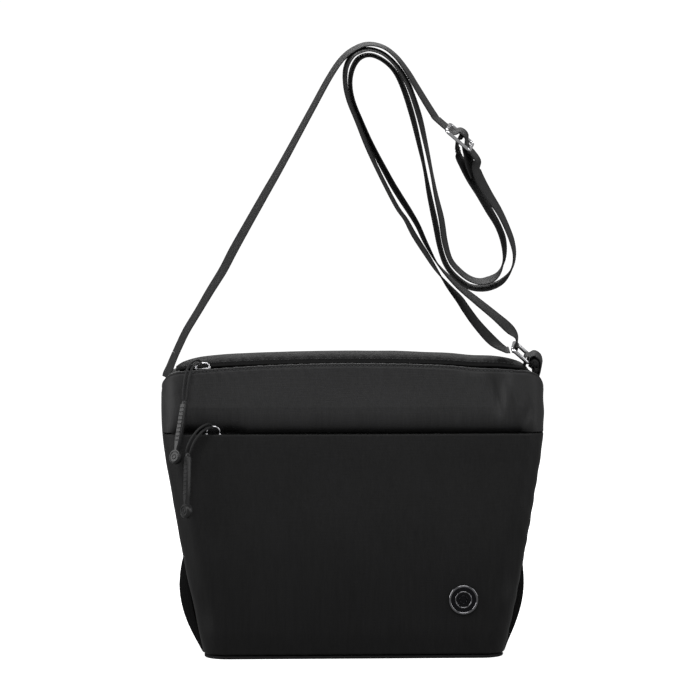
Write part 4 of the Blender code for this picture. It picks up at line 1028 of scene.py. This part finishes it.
def wire_frame(name, at, length, width, rod, node, middle=False):
    """A rectangle bent from rod, with a middle bar for an adjuster."""
    path = []
    for cx, cy, start in ((1, 1, 0), (-1, 1, 90), (-1, -1, 180), (1, -1, 270)):
        for k in range(10):
            a = math.radians(start + 10 * k)
            path.append(at @ Vector((cx * (length / 2 - FRAME_CORNER) + FRAME_CORNER * math.cos(a),
                                     cy * (width / 2 - FRAME_CORNER) + FRAME_CORNER * math.sin(a),
                                     0)))
    obj = tube(name, path, rod, CHROME, 20, closed=True)
    if middle:
        ends = [at @ Vector((0, y, 0)) for y in np.linspace(-width / 2, width / 2, 12)]
        obj = join(name, [obj, tube(f"{name}_bar", ends, rod * 0.95, CHROME, 20)])
    place(obj, "strap", (node,))


def fittings():
    """The adjuster slider and the strap's ring."""
    at = oriented(GLIDE_CENTRE, GLIDE_TRAVEL, GLIDE_WAY)
    wire_frame("adjuster", at, 2 * GLIDE_BAR_SPACING, GLIDE_WIDTH, GLIDE_ROD, "adjuster_slider",
               middle=True)
    centre = (RING_TAB_BAR + RING_STRAP_BAR) / 2
    length = (RING_TAB_BAR - RING_STRAP_BAR).length
    at = oriented(centre, RING_TRAVEL, RING_WAY)
    wire_frame("square_ring", at, length, RING_WIDTH, RING_ROD, "strap_ring")


TURNED_STEPS = 72


def turned(name, profile, at, look):
    """A round piece about an axis along -Y; the profile gives (radius, height)."""
    angle = np.linspace(0, 2 * math.pi, TURNED_STEPS, endpoint=False)
    rings = [np.stack([r * np.cos(angle), np.full(TURNED_STEPS, -h), r * np.sin(angle)], axis=-1)
             for r, h in profile]
    points = np.concatenate(rings) + np.array(at)
    obj = mesh_object(name, points, capped(len(profile), TURNED_STEPS), look, smooth=50)
    recalc(obj)
    place(obj, "bag", ("badge",))


def rounded_rib(centre, half, low, high, count=7):
    """Profile of a raised ring with a round crown."""
    return [(centre + half * math.cos(math.pi * k / (count - 1)),
             low + (high - low) * math.sin(math.pi * k / (count - 1))) for k in range(count)]


BADGE_X, BADGE_Z = 0.0744, 0.0410
BADGE_LIFT = 0.0010      # the badge's back stands this far off the pocket's face
RIM_RADIUS, RIM_HALF = 0.00935, 0.00090
INNER_RIM_RADIUS, INNER_RIM_HALF = 0.0055, 0.00055


def badge():
    """A round plate with a raised rim and two plain rings; the two rims are polished."""
    at = Vector((BADGE_X, -front(BADGE_Z) - BADGE_LIFT, BADGE_Z))
    plate = [(0.0101, 0.0), (0.0103, 0.0004),
             *rounded_rib(RIM_RADIUS, RIM_HALF, 0.0009, 0.0019, 9), (0.0080, 0.0007),
             (0.0063, 0.0007), *rounded_rib(INNER_RIM_RADIUS, INNER_RIM_HALF, 0.0007, 0.0015),
             (0.0046, 0.0007), (0.0034, 0.0008), *rounded_rib(0.0026, 0.00050, 0.0008, 0.0015),
             (0.0016, 0.0009), (0.0008, 0.0012), (0.0002, 0.0013)]
    turned("round_badge", plate, at, GUNMETAL)
    rim = rounded_rib(RIM_RADIUS, RIM_HALF, 0.0011, 0.0021, 9)
    turned("badge_rim", [(0.0101, 0.0006), *rim, (0.0086, 0.0006)], at, STEEL)
    rim = rounded_rib(INNER_RIM_RADIUS, INNER_RIM_HALF, 0.0009, 0.0017)
    turned("badge_inner_rim", [(0.0060, 0.0006), *rim, (0.0050, 0.0006)], at, STEEL)


# --- zips --------------------
COIL_GAP = 0.0014
COIL_WIDTH = 0.0018
COIL_HEIGHT = 0.0018
COIL_PITCH = 0.00125
COIL_WIRE = 0.00030
POCKET_ZIP_Z = 0.1512
POCKET_ZIP_HALF = 0.111
POCKET_ZIP_Y = -between(HALF_FRONT, POCKET_ZIP_Z) + 0.0071
SLIDER_LENGTH = 0.011
SLIDER_WIDTH = 0.0080
SLIDER_PLATE = 0.0010
PLATE_GAP = 0.0004       # between a slider's plate and the coil
BAIL_WIRE = 0.00055
BAIL_SPAN = 0.0090
BAIL_GAP = 0.0004


def coil(name, half, mid, side, height_at, node):
    """One row of zip coil: a flattened spiral of monofilament."""
    turns = int(2 * half / COIL_PITCH)
    t = np.linspace(0.0, 1.0, turns * 10)
    a = 2 * math.pi * turns * t
    x = -half + COIL_WIRE + (2 * half - 2 * COIL_WIRE) * t
    centre = mid + side * (COIL_GAP / 2 + COIL_WIDTH / 2)
    y = centre + (COIL_WIDTH / 2 - COIL_WIRE) * np.cos(a)
    z = height_at(x) + (COIL_HEIGHT / 2 - COIL_WIRE) * np.sin(a)
    obj = tube(name, np.stack([x, y, z], axis=1), COIL_WIRE, COIL, 6)
    place(obj, "bag", (node,))


def zips():
    """The four rows of coil; their tapes and stops are the CAD's own."""
    for side, name in ((-1, "front"), (1, "back")):
        coil(f"main_coil_{name}", ZIP_HALF, ZIP_Y, side, lambda x: ZIP_Z - arch(x),
             f"main_zip_coil_{name}")
        coil(f"pocket_coil_{name}", POCKET_ZIP_HALF, POCKET_ZIP_Y, side,
             lambda x: POCKET_ZIP_Z + 0 * x, f"pocket_zip_coil_{name}")


def bevelled_plate(name, outline, low, high, look, bevel=0.00028):
    """A flat plate with rounded edges from an outline of (x, y) points."""
    bm = bmesh.new()
    bottom = [bm.verts.new((x, y, low)) for x, y in outline]
    top = [bm.verts.new((x, y, high)) for x, y in outline]
    count = len(outline)
    for k in range(count):
        j = (k + 1) % count
        bm.faces.new((bottom[k], bottom[j], top[j], top[k]))
    bm.faces.new(list(reversed(bottom)))
    bm.faces.new(top)
    flat = [e for e in bm.edges if abs(e.verts[0].co.z - e.verts[1].co.z) < 1e-7]
    bmesh.ops.bevel(bm, geom=flat, offset=bevel, segments=3, affect="EDGES", profile=0.5)
    bmesh.ops.recalc_face_normals(bm, faces=bm.faces)
    mesh = bpy.data.meshes.new(name)
    bm.to_mesh(mesh)
    bm.free()
    return finished_mesh(name, mesh, look, 35)


def rectangle(x, y, half_x, half_y):
    return [(x + a * half_x, y + b * half_y) for a, b in ((-1, -1), (1, -1), (1, 1), (-1, 1))]


def slider(prefix, at, bail_y, bail_lean, bail_rise):
    """A zip slider: two shaped plates, a wedge, and a wire bail on two lugs."""
    half_l, half_w = SLIDER_LENGTH / 2, SLIDER_WIDTH / 2
    near = COIL_HEIGHT / 2 + PLATE_GAP
    far = near + SLIDER_PLATE
    outline = [(-half_l, -0.45 * half_w), (-0.86 * half_l, -0.80 * half_w),
               (-0.45 * half_l, -0.86 * half_w), (0.30 * half_l, -half_w),
               (0.80 * half_l, -0.96 * half_w), (half_l, -0.62 * half_w),
               (0.86 * half_l, -0.20 * half_w)]
    outline += [(x, -y) for x, y in reversed(outline)]
    pieces = [bevelled_plate(prefix, outline, near, far, CHROME),
              bevelled_plate(f"{prefix}_under", outline, -far, -near, CHROME),
              bevelled_plate(f"{prefix}_wedge", rectangle(0, 0, 0.0015, 0.0004),
                             -near - 0.0002, near + 0.0002, CHROME, 0.0001)]
    for end in (-1, 1):
        lug = rectangle(end * BAIL_SPAN / 2, bail_y, 0.0008, 0.0010)
        pieces.append(bevelled_plate(f"{prefix}_lug{end}", lug, far - 0.0001, far + 0.0008,
                                     CHROME, 0.0002))
    body = join(prefix, pieces)
    body.data.transform(at)
    base_at = Vector((0, bail_y, far + BAIL_WIRE + BAIL_GAP))
    wire = []
    for k in range(33):
        a = math.pi * k / 32
        share = max(math.sin(a), 0.0) ** 0.7
        wire.append(at @ (base_at + Vector((-BAIL_SPAN / 2 * math.cos(a), -bail_lean * share,
                                            bail_rise * share))))
    bail = tube(f"{prefix}_wire", wire, BAIL_WIRE, CHROME, 14)
    return body, bail, at @ (base_at + Vector((0, -bail_lean, bail_rise)))


BAR_LENGTH = 0.0295
BAR_WIDTH = 0.0046
BAR_THICKNESS = 0.0040
DISC_RADIUS = 0.0049
NECK_HALF = 0.0014       # half the width where the bar meets the disc
EDGE_ROUND = 0.0007
PULLER_RIBS = 9
FIRST_RIB = 0.0034
PULLER_RIB_PITCH = 0.00285
RIB_HALF = 0.0014
RIB_WIRE = 0.00042
DISC_RINGS = ((0.0036, 0.00040), (0.0015, 0.00036))    # (radius, wire)
COLLAR = (0.0011, 0.0017, 0.0019, 0.0019, 0.0019, 0.0019)     # radii, over its reach
COLLAR_REACH = (-0.0022, 0.0010)
CORD_SPACE = 0.00145     # from the cord's middle line to each of its two strands
CORD_RADIUS = 0.00085


def puller(name, head, tail, face_way):
    """A moulded bar and disc, with plain raised ribs and rings on its face."""
    along = (tail - head).normalized()
    across = along.cross(face_way).normalized()
    outer = across.cross(along).normalized()
    total = (tail - head).length
    disc_at = total - DISC_RADIUS
    neck = math.asin(NECK_HALF / DISC_RADIUS)
    outline = [(0.0, 0.0014), (0.0004, 0.0019), (0.0012, BAR_WIDTH / 2),
               (BAR_LENGTH - 0.0022, BAR_WIDTH / 2), (BAR_LENGTH - 0.0012, 0.0021),
               (disc_at - DISC_RADIUS * math.cos(neck), NECK_HALF)]
    for k in range(1, 24):
        a = neck + (math.pi - neck) * k / 24
        outline.append((disc_at - DISC_RADIUS * math.cos(a), DISC_RADIUS * math.sin(a)))
    outline.append((total, 0.0))
    half = np.array(outline + [(a, -b) for a, b in reversed(outline[:-1])])
    sections = []
    for t in np.linspace(-1, 1, 11):
        inset = EDGE_ROUND * (1 - math.sqrt(max(1 - abs(t) ** 3, 0.0)))
        shape = half.copy()
        shape[:, 1] -= np.sign(shape[:, 1]) * np.minimum(inset, np.abs(shape[:, 1]))
        shape[:, 0] = total / 2 + (shape[:, 0] - total / 2) * (1 - inset / total * 2)
        lift = t * BAR_THICKNESS / 2
        sections.append([head + along * a + across * b + outer * lift for a, b in shape])
    points = np.array([[tuple(p) for p in s] for s in sections]).reshape(-1, 3)
    body = mesh_object(name, points, capped(len(sections), len(half)), RUBBER, smooth=35)
    recalc(body)
    pieces = [body]
    for face in (-1, 1):
        skin = outer * (face * BAR_THICKNESS / 2)
        for k in range(PULLER_RIBS):
            at = head + along * (FIRST_RIB + PULLER_RIB_PITCH * k) + skin
            ends = [at + across * b for b in np.linspace(-RIB_HALF, RIB_HALF, 5)]
            pieces.append(tube(f"{name}_rib{k}", ends, RIB_WIRE, RUBBER, 8))
        for radius, wire in DISC_RINGS:
            ring = [head + along * (disc_at + radius * math.cos(a)) + across * radius * math.sin(a)
                    + skin for a in np.linspace(0, 2 * math.pi, 40, endpoint=False)]
            pieces.append(tube(f"{name}_ring", ring, wire, RUBBER, 8, closed=True))
    collar = [head + along * t for t in np.linspace(*COLLAR_REACH, len(COLLAR))]
    pieces.append(tube(f"{name}_collar", collar, COLLAR, RUBBER, 16))
    return join(name, pieces)


def doubled_cord(name, points):
    """A loop of cord: two strands side by side that meet at both ends."""
    path = catmull([tuple(p) for p in points], 14)
    run = np.linspace(0.0, 1.0, len(path))
    way = np.cross(np.gradient(path, axis=0), (0.0, -1.0, 0.35))
    way /= np.linalg.norm(way, axis=1, keepdims=True)
    space = np.maximum(CORD_SPACE * np.sqrt(1 - np.abs(2 * run - 1) ** 14), 0.0003)[:, None]
    loop = np.vstack([path + way * space, (path - way * space)[::-1]])
    return tube(name, loop, CORD_RADIUS, CORD, 14, closed=True, twist=2600.0, lobes=3,
                depth=0.00007)


MAIN_SLIDER_X = -0.1040
POCKET_SLIDER_X = -0.0970


def pulls():
    """Both sliders, with their cords and pullers."""
    slope = Matrix.Rotation(math.atan2(MAIN_SLIDER_X, ZIP_RADIUS), 4, "Y")
    main_at = Matrix.Translation((MAIN_SLIDER_X, ZIP_Y, ZIP_Z - arch(MAIN_SLIDER_X))) @ slope
    pocket_at = Matrix.Translation((POCKET_SLIDER_X, POCKET_ZIP_Y, POCKET_ZIP_Z))
    # slider's place, bail's y, lean and rise, cord's way, puller's head, tail and facing
    lines = {
        "main": (main_at, (0.0, 0.0, 0.0026),
                 [(-0.1085, -0.0240, 0.2032), (-0.1122, -0.0305, 0.2008),
                  (-0.1146, -0.0352, 0.1950), (-0.1160, -0.0375, 0.1860)],
                 Vector((-0.1170, -0.0395, 0.1755)), Vector((-0.1236, -0.0503, 0.1345)),
                 Vector((-0.62, -0.78, 0))),
        "pocket": (pocket_at, (-0.0030, 0.0016, 0.0050),
                   [(-0.1010, -0.0450, 0.1602), (-0.1058, -0.0490, 0.1577),
                    (-0.1105, -0.0516, 0.1522), (-0.1132, -0.0524, 0.1467)],
                   Vector((-0.1146, -0.0520, 0.1405)), Vector((-0.1158, -0.0600, 0.0982)),
                   Vector((-0.80, -0.60, 0))),
    }
    for name, (at, shape, line, head, tail, face_way) in lines.items():
        body, bail, top = slider(f"{name}_zip_slider", at, *shape)
        place(body, f"{name}_zip_slider", (f"{name}_slider",))
        place(bail, f"{name}_zip_slider", (f"{name}_slider_bail",))
        start = top + Vector((-0.0012, -0.0018, 0.0004))
        stop = head + (head - tail).normalized() * 0.0013
        cord = doubled_cord(f"{name}_cord", [start, *line, stop])
        place(cord, f"{name}_pull", (f"{name}_pull_cord",))
        place(puller(f"{name}_rubber_pull", head, tail, face_way), f"{name}_pull",
              (f"{name}_puller",))


# --- carried-over CAD nodes --------------------
def finish_nodes():
    """Looks for the CAD nodes that nothing here replaces."""
    looks = {"base_board": BOARD, "pocket_back_wall": NYLON_SIDE, "pocket_lining": LINING,
             "main_lining": LINING, "badge_washer": CHROME}
    for name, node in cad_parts.items():
        if "_tape_" in name:
            looks[name] = TAPE
        elif "_stop_" in name:
            looks[name] = GUNMETAL
        if name in looks:
            node.data.materials.clear()
            node.data.materials.append(looks[name])


for make in (camera, studio, pocket_panel, upper_panel, back_panel, side_panels, lower_gussets,
             base, rolled_top, strap, fittings, badge, zips, pulls, finish_nodes):
    make()
